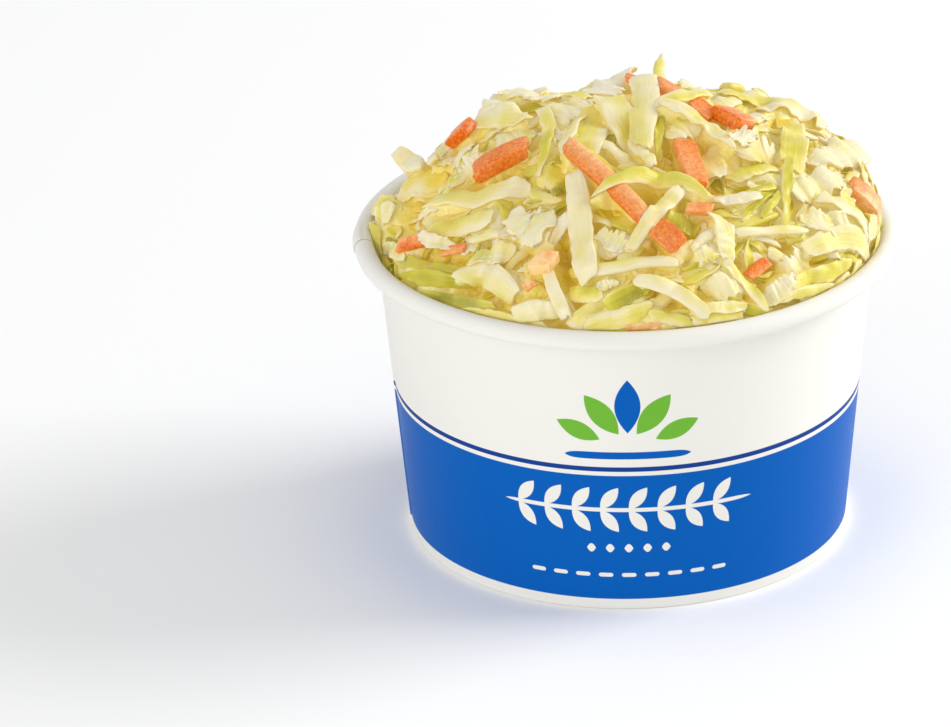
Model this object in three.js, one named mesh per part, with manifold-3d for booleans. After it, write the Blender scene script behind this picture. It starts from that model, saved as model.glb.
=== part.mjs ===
// Coleslaw heaped in a round paper cup, in millimetres, +Z up.
// The origin is at the centre of the cup's foot, on the table, and -Y is the front of the cup.
// Three solids: the wall with its rolled rim, the base disc, and the heap of slaw.
import * as THREE from "three";
import { mergeVertices } from "three/addons/utils/BufferGeometryUtils.js";
import Module from "manifold-3d";

const wasm = await Module();
wasm.setup();

// Driving dimensions of the cup
const cup = {
  height: 64.5,
  rimDiameter: 110,
  beadDiameter: 4, // the rolled rim
  footRadius: 44.5, // outside, on the table
  taper: 0.0912, // how much the wall's radius grows for each millimetre of height
  neckHeight: 57, // above this the wall flares out into the bead
  paper: 0.5,
  footWidth: 1.9, // wall and inturned hem together
  hemHeight: 6.2,
  seamAngle: 12, // degrees round the cup that the side seam's overlap covers
  seamStep: 0.3,
};
const segments = 56; // round the cup

// Driving dimensions of the heap
const heap = {
  footRadius: 50, // where the heap leaves the wall
  skew: 0.6, // the foot lies this much further out on the right than in the middle
  slump: 3, // on the left front the heap has sunk away from the wall
  slumpAngle: 200,
  slumpSpread: 38,
  footHeight: 61,
  footTilt: 1.6, // the foot is this much higher on the right
  top: new THREE.Vector2(3, 90), // x and z of the highest point
  power: 2.05, // of the superellipse that is the heap's outline
  powerSkew: 0.15,
};
const clearance = 0.35; // between the slaw and the cup
const coreDepth = 2.4; // from the level of the top shreds down to the core

const baseHeight = cup.hemHeight + clearance;
const slawHeight = baseHeight + cup.paper + clearance;
const bead = {
  radius: cup.beadDiameter / 2,
  at: new THREE.Vector2((cup.rimDiameter - cup.beadDiameter) / 2, cup.height - cup.beadDiameter / 2),
};
const rad = THREE.MathUtils.degToRad;

// ---------- joining and closing ----------

// The closed solid of a geometry, for cutting and joining.
function solidOf(geometry) {
  const bare = geometry.clone();
  for (const name of ["normal", "uv"]) bare.deleteAttribute(name);
  const merged = mergeVertices(bare, 1e-4);
  return new wasm.Manifold(new wasm.Mesh({
    numProp: 3,
    vertProperties: new Float32Array(merged.attributes.position.array),
    triVerts: new Uint32Array(merged.index.array),
  }));
}

function geometryOf(solid) {
  const { vertProperties, triVerts } = solid.getMesh();
  const geometry = new THREE.BufferGeometry();
  geometry.setAttribute("position", new THREE.BufferAttribute(new Float32Array(vertProperties), 3));
  geometry.setIndex(new THREE.BufferAttribute(new Uint32Array(triVerts), 1));
  geometry.computeVertexNormals();
  return geometry;
}

// Solids joined to the first one, without the scraps that hang on nothing or the pockets sealed inside.
function joined(solids) {
  const whole = solids.reduce((sum, piece) => sum.add(piece));
  return whole.decompose().reduce((most, body) => (body.volume() > most.volume() ? body : most));
}

// The surface between two grids of points that share their edges' ends: a slab with a top, a bottom and walls.
// point(i, j, side) gives the place of column i and row j on the top (side 1) or on the bottom (side -1).
// Top and bottom are split into triangles alike.
function slab(columns, rows, point) {
  const positions = [];
  const index = [];
  const at = (i, j, side) => ((side > 0 ? 0 : 1) * (columns + 1) + i) * (rows + 1) + j;
  for (const side of [1, -1])
    for (let i = 0; i <= columns; i++)
      for (let j = 0; j <= rows; j++) positions.push(...point(i, j, side).toArray());
  const quad = (a, b, c, d) => index.push(a, b, c, a, c, d);
  for (let i = 0; i < columns; i++)
    for (let j = 0; j < rows; j++) {
      quad(at(i, j, 1), at(i + 1, j, 1), at(i + 1, j + 1, 1), at(i, j + 1, 1));
      index.push(at(i, j, -1), at(i + 1, j + 1, -1), at(i + 1, j, -1));
      index.push(at(i, j, -1), at(i, j + 1, -1), at(i + 1, j + 1, -1));
    }
  for (let i = 0; i < columns; i++) {
    quad(at(i, 0, -1), at(i + 1, 0, -1), at(i + 1, 0, 1), at(i, 0, 1));
    quad(at(i + 1, rows, -1), at(i, rows, -1), at(i, rows, 1), at(i + 1, rows, 1));
  }
  for (let j = 0; j < rows; j++) {
    quad(at(0, j + 1, -1), at(0, j, -1), at(0, j, 1), at(0, j + 1, 1));
    quad(at(columns, j, -1), at(columns, j + 1, -1), at(columns, j + 1, 1), at(columns, j, 1));
  }
  const geometry = new THREE.BufferGeometry();
  geometry.setAttribute("position", new THREE.Float32BufferAttribute(positions, 3));
  geometry.setIndex(index);
  return geometry;
}

// ---------- cup ----------

// Radius of the wall's inner face: a cone, which above the neck flares out to the bead's inner side.
function innerRadius(z) {
  const cone = cup.footRadius - cup.paper + cup.taper * z;
  const coneAtBead = cup.footRadius - cup.paper + cup.taper * bead.at.y;
  const rise = Math.max(0, z - cup.neckHeight) / (bead.at.y - cup.neckHeight);
  return cone + (bead.at.x - bead.radius - coneAtBead) * rise ** 2;
}

function makeWall() {
  const outer = (z) => new THREE.Vector2(innerRadius(z) + cup.paper, z);
  const inner = (z) => new THREE.Vector2(innerRadius(z), z);
  const flare = [0, 0.3, 0.55, 0.75].map((t) => THREE.MathUtils.lerp(cup.neckHeight, bead.at.y, t));
  const bottom = outer(0);
  const profile = [bottom, ...flare.map(outer)];
  for (let angle = -150; angle <= 180; angle += 30)
    profile.push(new THREE.Vector2(Math.cos(rad(angle)), Math.sin(rad(angle)))
      .multiplyScalar(bead.radius).add(bead.at));
  profile.push(...flare.toReversed().map(inner));
  const hem = inner(cup.hemHeight);
  const hemWidth = cup.footWidth - cup.paper;
  profile.push(hem, new THREE.Vector2(hem.x - hemWidth, hem.y));
  profile.push(new THREE.Vector2(bottom.x - cup.footWidth, 0), bottom.clone());
  return new THREE.LatheGeometry(profile, segments).rotateX(Math.PI / 2);
}

// The side seam, at the left: the sheet's outer end lies over its inner end, up the wall and over the rim.
function makeSeam() {
  const half = rad(cup.seamAngle / 2);
  const outline = new THREE.Shape();
  outline.absarc(0, 0, cup.footRadius + cup.seamStep, Math.PI - half, Math.PI + half, false);
  outline.absarc(0, 0, cup.footRadius - cup.paper / 2, Math.PI + half, Math.PI - half, true);
  const panel = new THREE.ExtrudeGeometry(outline, {
    depth: bead.at.y - bead.radius / 2, bevelEnabled: false, curveSegments: 4, steps: 12,
  });
  const position = panel.attributes.position;
  for (let i = 0; i < position.count; i++) {
    const radius = Math.hypot(position.getX(i), position.getY(i));
    const grown = 1 + (innerRadius(position.getZ(i)) - innerRadius(0)) / radius;
    position.setXY(i, position.getX(i) * grown, position.getY(i) * grown);
  }
  const overRim = new THREE.CatmullRomCurve3([-1, -0.5, 0, 0.5, 1].map((t) => new THREE.Vector3(
    bead.at.x * Math.cos(Math.PI + t * half), bead.at.x * Math.sin(Math.PI + t * half), bead.at.y)));
  const section = new THREE.Shape().absarc(0, 0, bead.radius + cup.seamStep / 2, 0, 2 * Math.PI);
  const roll = new THREE.ExtrudeGeometry(section, {
    steps: 3, curveSegments: 7, bevelEnabled: false, extrudePath: overRim,
  });
  return [panel, roll];
}

function makeBase() {
  const radius = innerRadius(baseHeight) - clearance;
  return new THREE.LatheGeometry([
    new THREE.Vector2(0, baseHeight),
    new THREE.Vector2(radius, baseHeight),
    new THREE.Vector2(radius, baseHeight + cup.paper),
    new THREE.Vector2(0, baseHeight + cup.paper),
  ], segments).rotateX(Math.PI / 2);
}

// ---------- the heap's surface ----------

// Arc length along the heap's outline, from its top down to its foot.
const outline = (() => {
  const steps = 64;
  const drop = heap.top.y - heap.footHeight;
  const lengths = [0];
  for (let i = 1; i <= steps; i++) {
    const [a, b] = [i - 1, i].map((k) => (k / steps) * (Math.PI / 2));
    lengths.push(lengths[i - 1] + Math.hypot(
      heap.footRadius * (Math.sin(b) - Math.sin(a)), drop * (Math.cos(b) - Math.cos(a))));
  }
  const length = lengths[steps];
  const angleAt = (distance) => {
    const i = Math.max(1, lengths.findIndex((reached) => reached >= distance));
    if (distance >= length) return Math.PI / 2;
    const part = (distance - lengths[i - 1]) / (lengths[i] - lengths[i - 1]);
    return ((i - 1 + part) / steps) * (Math.PI / 2);
  };
  return { length, angleAt };
})();

function footRadiusAt(phi) {
  const away = Math.atan2(Math.sin(phi - rad(heap.slumpAngle)), Math.cos(phi - rad(heap.slumpAngle)));
  return heap.footRadius + heap.skew * Math.cos(phi) - heap.slump * Math.exp(-((away / rad(heap.slumpSpread)) ** 2));
}

// The heap spread out flat: u and v are measured along its surface from its top, u to the right, v to the back.
function surface(u, v) {
  const phi = Math.atan2(v, u);
  const distance = Math.hypot(u, v);
  const angle = outline.angleAt(distance);
  const power = 2 / (heap.power + heap.powerSkew * Math.cos(phi));
  const out = Math.sin(angle) ** power;
  const up = Math.max(0, Math.cos(angle)) ** power;
  const footHeight = heap.footHeight + heap.footTilt * Math.cos(phi);
  const radius = footRadiusAt(phi) * out;
  return new THREE.Vector3(
    heap.top.x * (1 - out) + radius * Math.cos(phi),
    radius * Math.sin(phi),
    footHeight + (heap.top.y - footHeight) * up - Math.max(0, distance - outline.length),
  );
}

// A place h millimetres above the heap's surface, along its normal.
function onHeap(u, v, h) {
  const step = 0.05;
  const along = surface(u + step, v).sub(surface(u - step, v));
  const across = surface(u, v + step).sub(surface(u, v - step));
  return surface(u, v).addScaledVector(along.cross(across).normalize(), h);
}

// Whether a place keeps clear of the cup's wall, flare and bead.
function isClear(place) {
  const radius = Math.hypot(place.x, place.y);
  if (place.z >= cup.height + clearance) return true;
  const rise = place.z - bead.at.y;
  if (rise >= 0) return radius < bead.at.x - Math.sqrt((bead.radius + clearance) ** 2 - rise ** 2);
  return radius < innerRadius(place.z) - clearance;
}

// ---------- pieces of slaw ----------

// The mass under the shreds: it fills the cup up to the neck, then follows the heap at the core's depth.
function makeCore() {
  const columns = 24;
  const wallHeights = [slawHeight, cup.neckHeight - 1];
  const domeRows = 5;
  const rings = [];
  for (const z of wallHeights)
    rings.push((phi) => new THREE.Vector3(Math.cos(phi), Math.sin(phi), 0)
      .multiplyScalar(innerRadius(z) - clearance - 0.1).setZ(z));
  for (let row = 0; row < domeRows; row++) {
    const distance = outline.length * (1 - row / domeRows) - 0.5;
    rings.push((phi) => onHeap(distance * Math.cos(phi), distance * Math.sin(phi), -coreDepth));
  }
  const positions = [0, 0, slawHeight, ...onHeap(0.01, 0, -coreDepth).toArray()];
  const index = [];
  const at = (ring, i) => 2 + ring * columns + (i % columns);
  rings.forEach((ring) => {
    for (let i = 0; i < columns; i++) positions.push(...ring((i / columns) * 2 * Math.PI).toArray());
  });
  for (let i = 0; i < columns; i++) {
    index.push(0, at(0, i + 1), at(0, i), 1, at(rings.length - 1, i), at(rings.length - 1, i + 1));
    for (let ring = 0; ring < rings.length - 1; ring++)
      index.push(at(ring, i), at(ring, i + 1), at(ring + 1, i + 1), at(ring, i), at(ring + 1, i + 1), at(ring + 1, i));
  }
  const geometry = new THREE.BufferGeometry();
  geometry.setAttribute("position", new THREE.Float32BufferAttribute(positions, 3));
  geometry.setIndex(index);
  return geometry;
}

// A shred: a strip that arches over the heap, bowed sideways and twisted. s runs along it from -1 to 1.
// u, v and heading place its middle. Its height is a parabola: pressed into the core at the near end, rise in
// the middle, and at the far end tip, or pressed in again where tip is 0.
function makeShred({ u, v, heading, length, width, thick, rise, tip = 0, bow = 0, twist = 0, wave = 0 }) {
  const turn = rad(heading);
  const pressed = -coreDepth - 0.4;
  const far = tip || pressed;
  const columns = Math.max(3, Math.round(length / 6));
  const rows = width > 7 ? 2 : 1;
  return slab(columns, rows, (i, j, side) => {
    const s = (2 * i) / columns - 1;
    const across = ((2 * j) / rows - 1) * (width / 2) * (1 - 0.35 * s ** 4);
    const roll = rad(twist) * s;
    const along = (s * length) / 2;
    const sideways = bow * (1 - s * s) + across * Math.cos(roll);
    const height = rise * (1 - s * s) + (pressed * (s * s - s)) / 2 + (far * (s * s + s)) / 2;
    const h = height + across * Math.sin(roll) + (side * thick) / 2 + wave * Math.sin(3 * s + j * Math.PI);
    return onHeap(
      u + along * Math.cos(turn) - sideways * Math.sin(turn),
      v + along * Math.sin(turn) + sideways * Math.cos(turn),
      h,
    );
  });
}

// A carrot stick: straight and square, lying on the heap.
function makeStick({ u, v, heading, length, width, rise = 0.5 }) {
  const turn = rad(heading);
  const half = new THREE.Vector2(Math.cos(turn), Math.sin(turn)).multiplyScalar(length / 2);
  const low = onHeap(u - half.x, v - half.y, 0);
  const high = onHeap(u + half.x, v + half.y, 0);
  const along = high.clone().sub(low).normalize();
  const normal = onHeap(u, v, 1).sub(onHeap(u, v, 0));
  const across = normal.clone().cross(along).normalize();
  const up = along.clone().cross(across);
  const middle = onHeap(u, v, rise + 0.6 - width / 2);
  const frame = new THREE.Matrix4().makeBasis(along, across, up).setPosition(middle);
  return new THREE.BoxGeometry(length, width, width).applyMatrix4(frame);
}

// ---------- the heap's pieces ----------

// Carrot sticks: [u, v, heading, length, width, rise]
const carrots = [
  [-36, 12, -40, 7, 5, 1.8],
  [-28, -12, 23, 12, 5, 1],
  [-4, -27, -48, 26, 4.4, 0.6],
  [11, -21, -74, 15, 5.4, 1],
  [8, -41, 62, 8, 5, 0.8],
  [12, -32, 0, 7, 3.6, 0],
  [29, -44, 61, 7, 4.2, 0.2],
  [53, -6, 32, 15, 4.8, 0.6],
  [-50, -21, -39, 10, 3.6, 0.2],
  [-41, -30, -15, 8, 3, 0],
  [-16, -46, -21, 7, 4.6, 1],
  [4, -59, 4, 8, 3.6, 0],
  [1, 20, -61, 10, 3.6, 0.6],
  [6, 9, -54, 8, 4, 0.6],
  [12, 1, -20, 7, 4, 0.6],
  [18, -5, -32, 7, 5, 0.6],
];

// The large shreds of the front: [u, v, heading, length, width, thick, rise, tip, bow, twist, wave]
const largeShreds = [
  [-10, -35, -84, 23, 4.8, 1.8, 0.9, 0, 0, 6, 0],
  [-1, -48, -2, 18, 3.6, 1.6, 0.9, 0, 0, -6, 0],
  [5, -37, -121, 19, 4.6, 1.4, 1.7, 0, 0, 10, 0],
  [30, -34, 19, 16, 3.4, 1.6, 1, 0, 0, 0, 0],
  [47, -22, 17, 17, 3.6, 1.4, 0.8, 0, 0, 8, 0],
  [11, -54, -17, 17, 4, 1.8, 0.9, 0, 1, 0, 0],
  [-15, -52, -65, 9, 3.6, 1.6, 0.8, 0, 0, 0, 0],
  [-49, 9, 150, 10, 4, 2.4, 1.4, 3, 0, 0, 0],
  [1, -7, 90, 18, 6, 1.1, 1.2, 5, 0, 10, 0],
  [-11, -6, 68, 24, 6, 1.1, 1.4, 0, -2, -20, 0],
  [-3, -2, -70, 15, 5, 1.1, 2.2, 0, 1, 15, 0],
  [-20, -12, -91, 28, 3.2, 1.1, 1.2, 0, 1, 8, 0],
  [4, -6, 86, 19, 2.6, 1.1, 2.4, 9, 0, 0, 0],
  [-31, 17, 160, 13, 5, 1.1, 1.4, 2, 0, 12, 0],
  [-34, -17, -19, 27, 4, 1.3, 1, 0, -3, 12, 0],
  [1, -30, 19, 19, 3.6, 1.1, 2.1, 0, 2, 15, 0],
  [32, -23, -79, 19, 3, 1.5, 1, 0, 0, 0, 0],
  [25, 6, 7, 28, 3.4, 1.3, 1.4, 2, 1, 10, 0],
  [35, -2, -81, 20, 6, 1.1, 1.4, 0, 0, -12, 0],
  [-19, -37, -12, 14, 9, 1.3, 1.2, 0, 0, 0, 0.7],
  [22, -50, 13, 11, 8, 1.3, 1, 0, 0, 0, 0.7],
  [19, -40, -58, 12, 6, 1.2, 1, 0, 0, 10, 0],
  [28, -48, -50, 13, 3.6, 1.2, 0.8, 0, 0, -8, 0],
  [-1, -55, 24, 11, 4, 1.2, 0.6, 0, 0, 0, 0],
  [-40, -7, -66, 22, 5, 1.2, 0.8, 0, 2, 10, 0],
  [-1, -17, -62, 13, 4, 1.5, 1.4, 0, 0, 0, 0],
  [-31, -42, -11, 18, 5, 1.3, 1, 0, 0, 12, 0],
  [-42, -36, -43, 26, 3.6, 1.2, 0.4, 0, -2, 0, 0],
  [-47, -34, -45, 20, 4, 1.2, 0, 0, -2, 0, 0],
  [44, 5, 30, 14, 8, 1.5, 1.2, 0, 0, 0, 0.7],
  [44, -36, 44, 18, 5, 1.3, 0.6, 0, -2, 0, 0],
  [53, -15, 75, 18, 5, 1.3, 0.8, 0, -2, 8, 0],
];

// The rest of the heap: shreds on a sunflower spiral, every ninth one a carrot stick, drawn from one seed.
// None starts within a gap of a piece that is already listed.
const scattered = { count: 138, seed: 29, turn: 2.39996, longest: 24, shortest: 13, gap: 3.4 };

// Draws numbers between two bounds, the same ones for the same seed.
function drawer(seed) {
  let state = seed;
  return (low, high) => {
    state = (Math.imul(state, 1664525) + 1013904223) >>> 0;
    return low + ((high - low) * state) / 2 ** 32;
  };
}

// How far a place on the spread-out heap is from the middle line of a piece.
function distanceTo({ u, v, heading, length }, x, y) {
  const half = new THREE.Vector3(Math.cos(rad(heading)), Math.sin(rad(heading)), 0).multiplyScalar(length / 2);
  const middle = new THREE.Vector3(u, v, 0);
  const line = new THREE.Line3(middle.clone().sub(half), middle.clone().add(half));
  const place = new THREE.Vector3(x, y, 0);
  return line.closestPointToPoint(place, true, new THREE.Vector3()).distanceTo(place);
}

function scatteredPieces(listed) {
  const draw = drawer(scattered.seed);
  const pieces = [];
  for (let i = 0; i < scattered.count; i++) {
    const distance = outline.length * 0.98 * Math.sqrt((i + 0.5) / scattered.count);
    const phi = i * scattered.turn;
    const u = distance * Math.cos(phi);
    const v = distance * Math.sin(phi);
    const nearFoot = distance > outline.length - 12;
    const heading = nearFoot ? THREE.MathUtils.radToDeg(phi) + 90 + draw(-30, 30) : draw(0, 180);
    const length = draw(scattered.shortest, scattered.longest);
    const width = draw(3.4, 7);
    const thick = draw(1.1, 1.9);
    const rise = draw(-0.6, 1);
    const tip = Math.max(0, draw(-2, 2));
    const [bow, twist] = [draw(-3, 3), draw(-20, 20)];
    if (listed.some((piece) => distanceTo(piece, u, v) < piece.width / 2 + scattered.gap)) continue;
    if (i % 9 === 4) pieces.push({ stick: true, u, v, heading, length: length * 0.6, width: 4.2, rise: 0.4 });
    else pieces.push({ u, v, heading, length, width, thick, rise, tip, bow, twist });
  }
  return pieces;
}

// A piece that would cross the cup is moved up the heap, then shortened, and left out if neither clears it.
function fitted(piece) {
  for (const length of [piece.length, piece.length * 0.75])
    for (let moved = 0; moved <= 9; moved += 1.5) {
      const scale = 1 - moved / Math.hypot(piece.u, piece.v);
      const tried = { ...piece, length, u: piece.u * scale, v: piece.v * scale };
      const geometry = piece.stick ? makeStick(tried) : makeShred(tried);
      const position = geometry.attributes.position;
      let clear = true;
      for (let i = 0; i < position.count; i++)
        clear &&= isClear(new THREE.Vector3().fromBufferAttribute(position, i));
      if (clear) return solidOf(geometry);
    }
  return null;
}

function makeSlaw() {
  const sticks = carrots.map(([u, v, heading, length, width, rise]) =>
    ({ stick: true, u, v, heading, length, width, rise }));
  const shreds = largeShreds.map(([u, v, heading, length, width, thick, rise, tip, bow, twist, wave]) =>
    ({ u, v, heading, length, width, thick, rise, tip, bow, twist, wave }));
  const listed = [...sticks, ...shreds];
  const pieces = [...listed, ...scatteredPieces(listed)].map(fitted).filter(Boolean);
  return joined([solidOf(makeCore()), ...pieces]);
}

// ---------- the object ----------

const paperWhite = { color: 0xf4f2ee, roughness: 0.45, metalness: 0 };
const finishes = {
  cup_wall: paperWhite,
  cup_base: paperWhite,
  slaw: { color: 0xece5a8, roughness: 0.35, metalness: 0 },
};

function part(name, geometry) {
  const mesh = new THREE.Mesh(geometry, new THREE.MeshStandardMaterial(finishes[name]));
  mesh.name = name;
  return mesh;
}

const coleslaw = new THREE.Group();
coleslaw.add(
  part("cup_wall", geometryOf(joined([solidOf(makeWall()), ...makeSeam().map(solidOf)]))),
  part("cup_base", makeBase()),
  part("slaw", geometryOf(makeSlaw())),
);

export default coleslaw;
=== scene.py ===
# Coleslaw heaped in a printed paper cup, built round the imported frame.
# Shapes are worked out in millimetres and put into the meshes in metres.
import math

import bpy
import numpy as np
from mathutils import Matrix, Vector


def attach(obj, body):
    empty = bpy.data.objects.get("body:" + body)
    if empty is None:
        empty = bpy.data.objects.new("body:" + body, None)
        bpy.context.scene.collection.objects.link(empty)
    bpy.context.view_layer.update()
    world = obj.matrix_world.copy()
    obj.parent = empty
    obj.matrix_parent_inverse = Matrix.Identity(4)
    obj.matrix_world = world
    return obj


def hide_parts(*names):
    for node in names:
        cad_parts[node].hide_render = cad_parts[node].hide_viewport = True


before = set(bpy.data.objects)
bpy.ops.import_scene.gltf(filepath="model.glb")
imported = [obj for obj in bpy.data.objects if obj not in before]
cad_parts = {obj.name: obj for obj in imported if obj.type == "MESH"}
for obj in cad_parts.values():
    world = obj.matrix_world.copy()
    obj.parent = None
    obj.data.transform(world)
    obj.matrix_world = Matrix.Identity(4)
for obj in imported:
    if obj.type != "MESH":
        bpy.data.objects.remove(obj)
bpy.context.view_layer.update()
mm = 0.001
tau = 2 * math.pi
random = np.random.default_rng(41)

cup = dict(
    height=64.5, beadRadius=2.0, beadCentre=53.0, footRadius=44.5, taper=0.0912, neckHeight=57.0,
    paper=0.5, footWidth=1.9, hemHeight=6.2, seamHalfAngle=6.0, seamStep=0.3, turns=320,
)
cup["beadHeight"] = cup["height"] - cup["beadRadius"]

heap = dict(
    footRadius=50.0, skew=0.6, slump=3.0, slumpAngle=200.0, slumpSpread=38.0,
    footHeight=61.0, footTilt=1.6, topX=3.0, topZ=90.0, power=2.05, powerSkew=0.15, clearance=0.3,
)


def meshPiece(name, points, quads, uv=None, values=None, sharpAngle=50):
    # points in millimetres, quads as rows of four point numbers, uv and values with one row for each point
    mesh = bpy.data.meshes.new(name)
    mesh.vertices.add(len(points))
    mesh.vertices.foreach_set("co", (points * mm).astype(np.float32).ravel())
    mesh.loops.add(4 * len(quads))
    mesh.loops.foreach_set("vertex_index", quads.astype(np.int32).ravel())
    mesh.polygons.add(len(quads))
    mesh.polygons.foreach_set("loop_start", np.arange(0, 4 * len(quads), 4, dtype=np.int32))
    mesh.update(calc_edges=True)
    mesh.shade_smooth()
    if sharpAngle:
        mesh.set_sharp_from_angle(angle=math.radians(sharpAngle))
    if uv is not None:
        layer = mesh.uv_layers.new(name="strip")
        layer.uv.foreach_set("vector", uv[quads.ravel()].astype(np.float32).ravel())
    for key, value in (values or {}).items():
        attribute = mesh.attributes.new(key, "FLOAT", "POINT")
        attribute.data.foreach_set("value", value.astype(np.float32).ravel())
    piece = bpy.data.objects.new(name, mesh)
    bpy.context.scene.collection.objects.link(piece)
    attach(piece, "root")
    return piece


def gridQuads(rows, columns, closedRows=False):
    # quads between neighbouring points of a grid that closes on itself across, and along it where asked
    i, j = np.meshgrid(np.arange(rows - (not closedRows)), np.arange(columns), indexing="ij")
    nextI, nextJ = (i + 1) % rows, (j + 1) % columns
    corners = [i * columns + j, nextI * columns + j, nextI * columns + nextJ, i * columns + nextJ]
    return np.stack(corners, -1).reshape(-1, 4)


def capQuads(ring):
    # a ring of an even number of points covered by a ladder of quads
    j = np.arange(ring // 2 - 1)
    return np.stack([j, j + 1, ring - 2 - j, ring - 1 - j], -1)


def tubeQuads(count, stations, ring):
    # count closed tubes: rings of points joined by quads, and both ends covered
    cap = capQuads(ring)
    one = np.concatenate([gridQuads(stations, ring), cap, cap[:, ::-1] + (stations - 1) * ring])
    return (one[None] + np.arange(count)[:, None, None] * stations * ring).reshape(-1, 4)


def smoothStep(low, high, x):
    # 0 below low, 1 above high, and a cubic between
    t = np.clip((x - low) / (high - low), 0, 1)
    return t * t * (3 - 2 * t)


def innerRadius(z):
    # the wall's inner face is a cone, which above the neck flares out as a parabola to the bead's inner side
    cone = cup["footRadius"] - cup["paper"] + cup["taper"] * z
    coneAtBead = cup["footRadius"] - cup["paper"] + cup["taper"] * cup["beadHeight"]
    rise = np.maximum(0, z - cup["neckHeight"]) / (cup["beadHeight"] - cup["neckHeight"])
    return cone + (cup["beadCentre"] - cup["beadRadius"] - coneAtBead) * rise ** 2


def cupProfile():
    # the wall's closed outline in radius and height, up the outside, round the bead, down the inside and
    # round the hem, with 1 for each point that the seam's lap lies over and 0 for the rest
    def arc(centre, radius, start, end, count):
        angle = np.radians(np.linspace(start, end, count))
        return np.array(centre) + radius * np.stack([np.cos(angle), np.sin(angle)], -1)

    def wall(low, high, count, offset):
        z = np.linspace(low, high, count)
        return np.stack([innerRadius(z) + offset, z], -1)

    foot, hem, neck, fold = cup["footRadius"], cup["hemHeight"], cup["neckHeight"], 0.35
    bead = arc((cup["beadCentre"], cup["beadHeight"]), cup["beadRadius"], -156, 172, 34)
    hemRadius = innerRadius(hem) - cup["footWidth"] + cup["paper"]
    stretches = [
        (1, arc((foot - fold, fold), fold, -90, -6, 6)),
        (1, wall(1, neck - 1, 36, cup["paper"])),
        (1, wall(neck, 61.1, 12, cup["paper"])),
        (1, bead),
        (0, wall(61.6, neck, 12, 0)),
        (0, wall(neck - 2, hem, 16, 0)),
        (0, np.array([[hemRadius + 0.3, hem], [hemRadius, hem - 0.3]])),
        (0, np.array([[foot - cup["footWidth"], 1.2]])),
        (0, arc((foot - cup["footWidth"] + fold, fold), fold, 174, 262, 5)),
    ]
    lapped = np.concatenate([np.full(len(points), flag, float) for flag, points in stretches])
    overBead = 24  # of the bead's points, as many as the lap lies over before it goes into the roll
    lapped[sum(len(points) for flag, points in stretches[:3]) + overBead:] = 0
    return np.concatenate([points for flag, points in stretches]), lapped


def buildCup():
    # the outline turned round the axis; the seam's lap and a slight unevenness move points along its normals
    profile, lapped = cupProfile()
    angle = np.linspace(0, tau, cup["turns"], endpoint=False)
    half = cup["seamHalfAngle"]
    finer = np.radians(180 + np.linspace(-half - 1, half + 1, 29))
    away = np.abs(np.angle(np.exp(1j * (angle - math.pi))))
    angle = np.sort(np.concatenate([angle[away > math.radians(half + 1.2)], finer]))
    fromSeam = np.degrees(np.angle(np.exp(1j * (angle - math.pi))))
    lap = smoothStep(-half, half * 0.2, fromSeam) * (1 - smoothStep(half - 0.12, half + 0.12, fromSeam))
    tangent = np.roll(profile, -1, 0) - np.roll(profile, 1, 0)
    normal = np.stack([tangent[:, 1], -tangent[:, 0]], -1) / np.hypot(*tangent.T)[:, None]
    drift = 0.05 * np.sin(3 * angle + 1) + 0.04 * np.sin(5 * angle + 2.3) + 0.03 * np.sin(9 * angle)
    height = profile[:, 1] / cup["height"]
    lift = cup["seamStep"] * lap[:, None] * lapped
    radius = profile[:, 0] + lift * normal[:, 0] + drift[:, None] * height ** 2
    z = profile[:, 1] + lift * normal[:, 1]
    points = np.stack([radius * np.cos(angle)[:, None], radius * np.sin(angle)[:, None], z], -1)
    quads = gridQuads(len(angle), len(profile), closedRows=True)
    wall = meshPiece("cupWallPaper", points.reshape(-1, 3), quads)
    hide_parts("cup_wall")
    return wall


def outlineTable(steps=64):
    # arc length down the heap's outline, a quarter of an ellipse, from its top to its foot
    angle = np.linspace(0, math.pi / 2, steps + 1)
    drop = heap["topZ"] - heap["footHeight"]
    step = np.hypot(heap["footRadius"] * np.diff(np.sin(angle)), drop * np.diff(np.cos(angle)))
    return angle, np.concatenate([[0], np.cumsum(step)])


outlineAngles, outlineLengths = outlineTable()
outlineLength = outlineLengths[-1]


def surface(u, v):
    # the heap spread out flat: u and v are measured along its surface from its top, u to the right, v to
    # the back
    phi, distance = np.arctan2(v, u), np.hypot(u, v)
    angle = np.interp(distance, outlineLengths, outlineAngles)
    power = 2 / (heap["power"] + heap["powerSkew"] * np.cos(phi))
    out, up = np.sin(angle) ** power, np.maximum(0, np.cos(angle)) ** power
    away = np.degrees(np.angle(np.exp(1j * (phi - math.radians(heap["slumpAngle"])))))
    slump = heap["slump"] * np.exp(-(away / heap["slumpSpread"]) ** 2)
    radius = heap["footRadius"] + heap["skew"] * np.cos(phi) - slump
    footHeight = heap["footHeight"] + heap["footTilt"] * np.cos(phi)
    return np.stack([
        heap["topX"] * (1 - out) + radius * out * np.cos(phi),
        radius * out * np.sin(phi),
        footHeight + (heap["topZ"] - footHeight) * up - np.maximum(0, distance - outlineLength),
    ], -1)


def onHeap(u, v, h, step=0.25):
    # h millimetres out from the heap's surface, along its normal
    along = surface(u + step, v) - surface(u - step, v)
    across = surface(u, v + step) - surface(u, v - step)
    normal = np.cross(along, across)
    normal /= np.linalg.norm(normal, axis=-1, keepdims=True)
    return surface(u, v) + normal * h[..., None]


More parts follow.
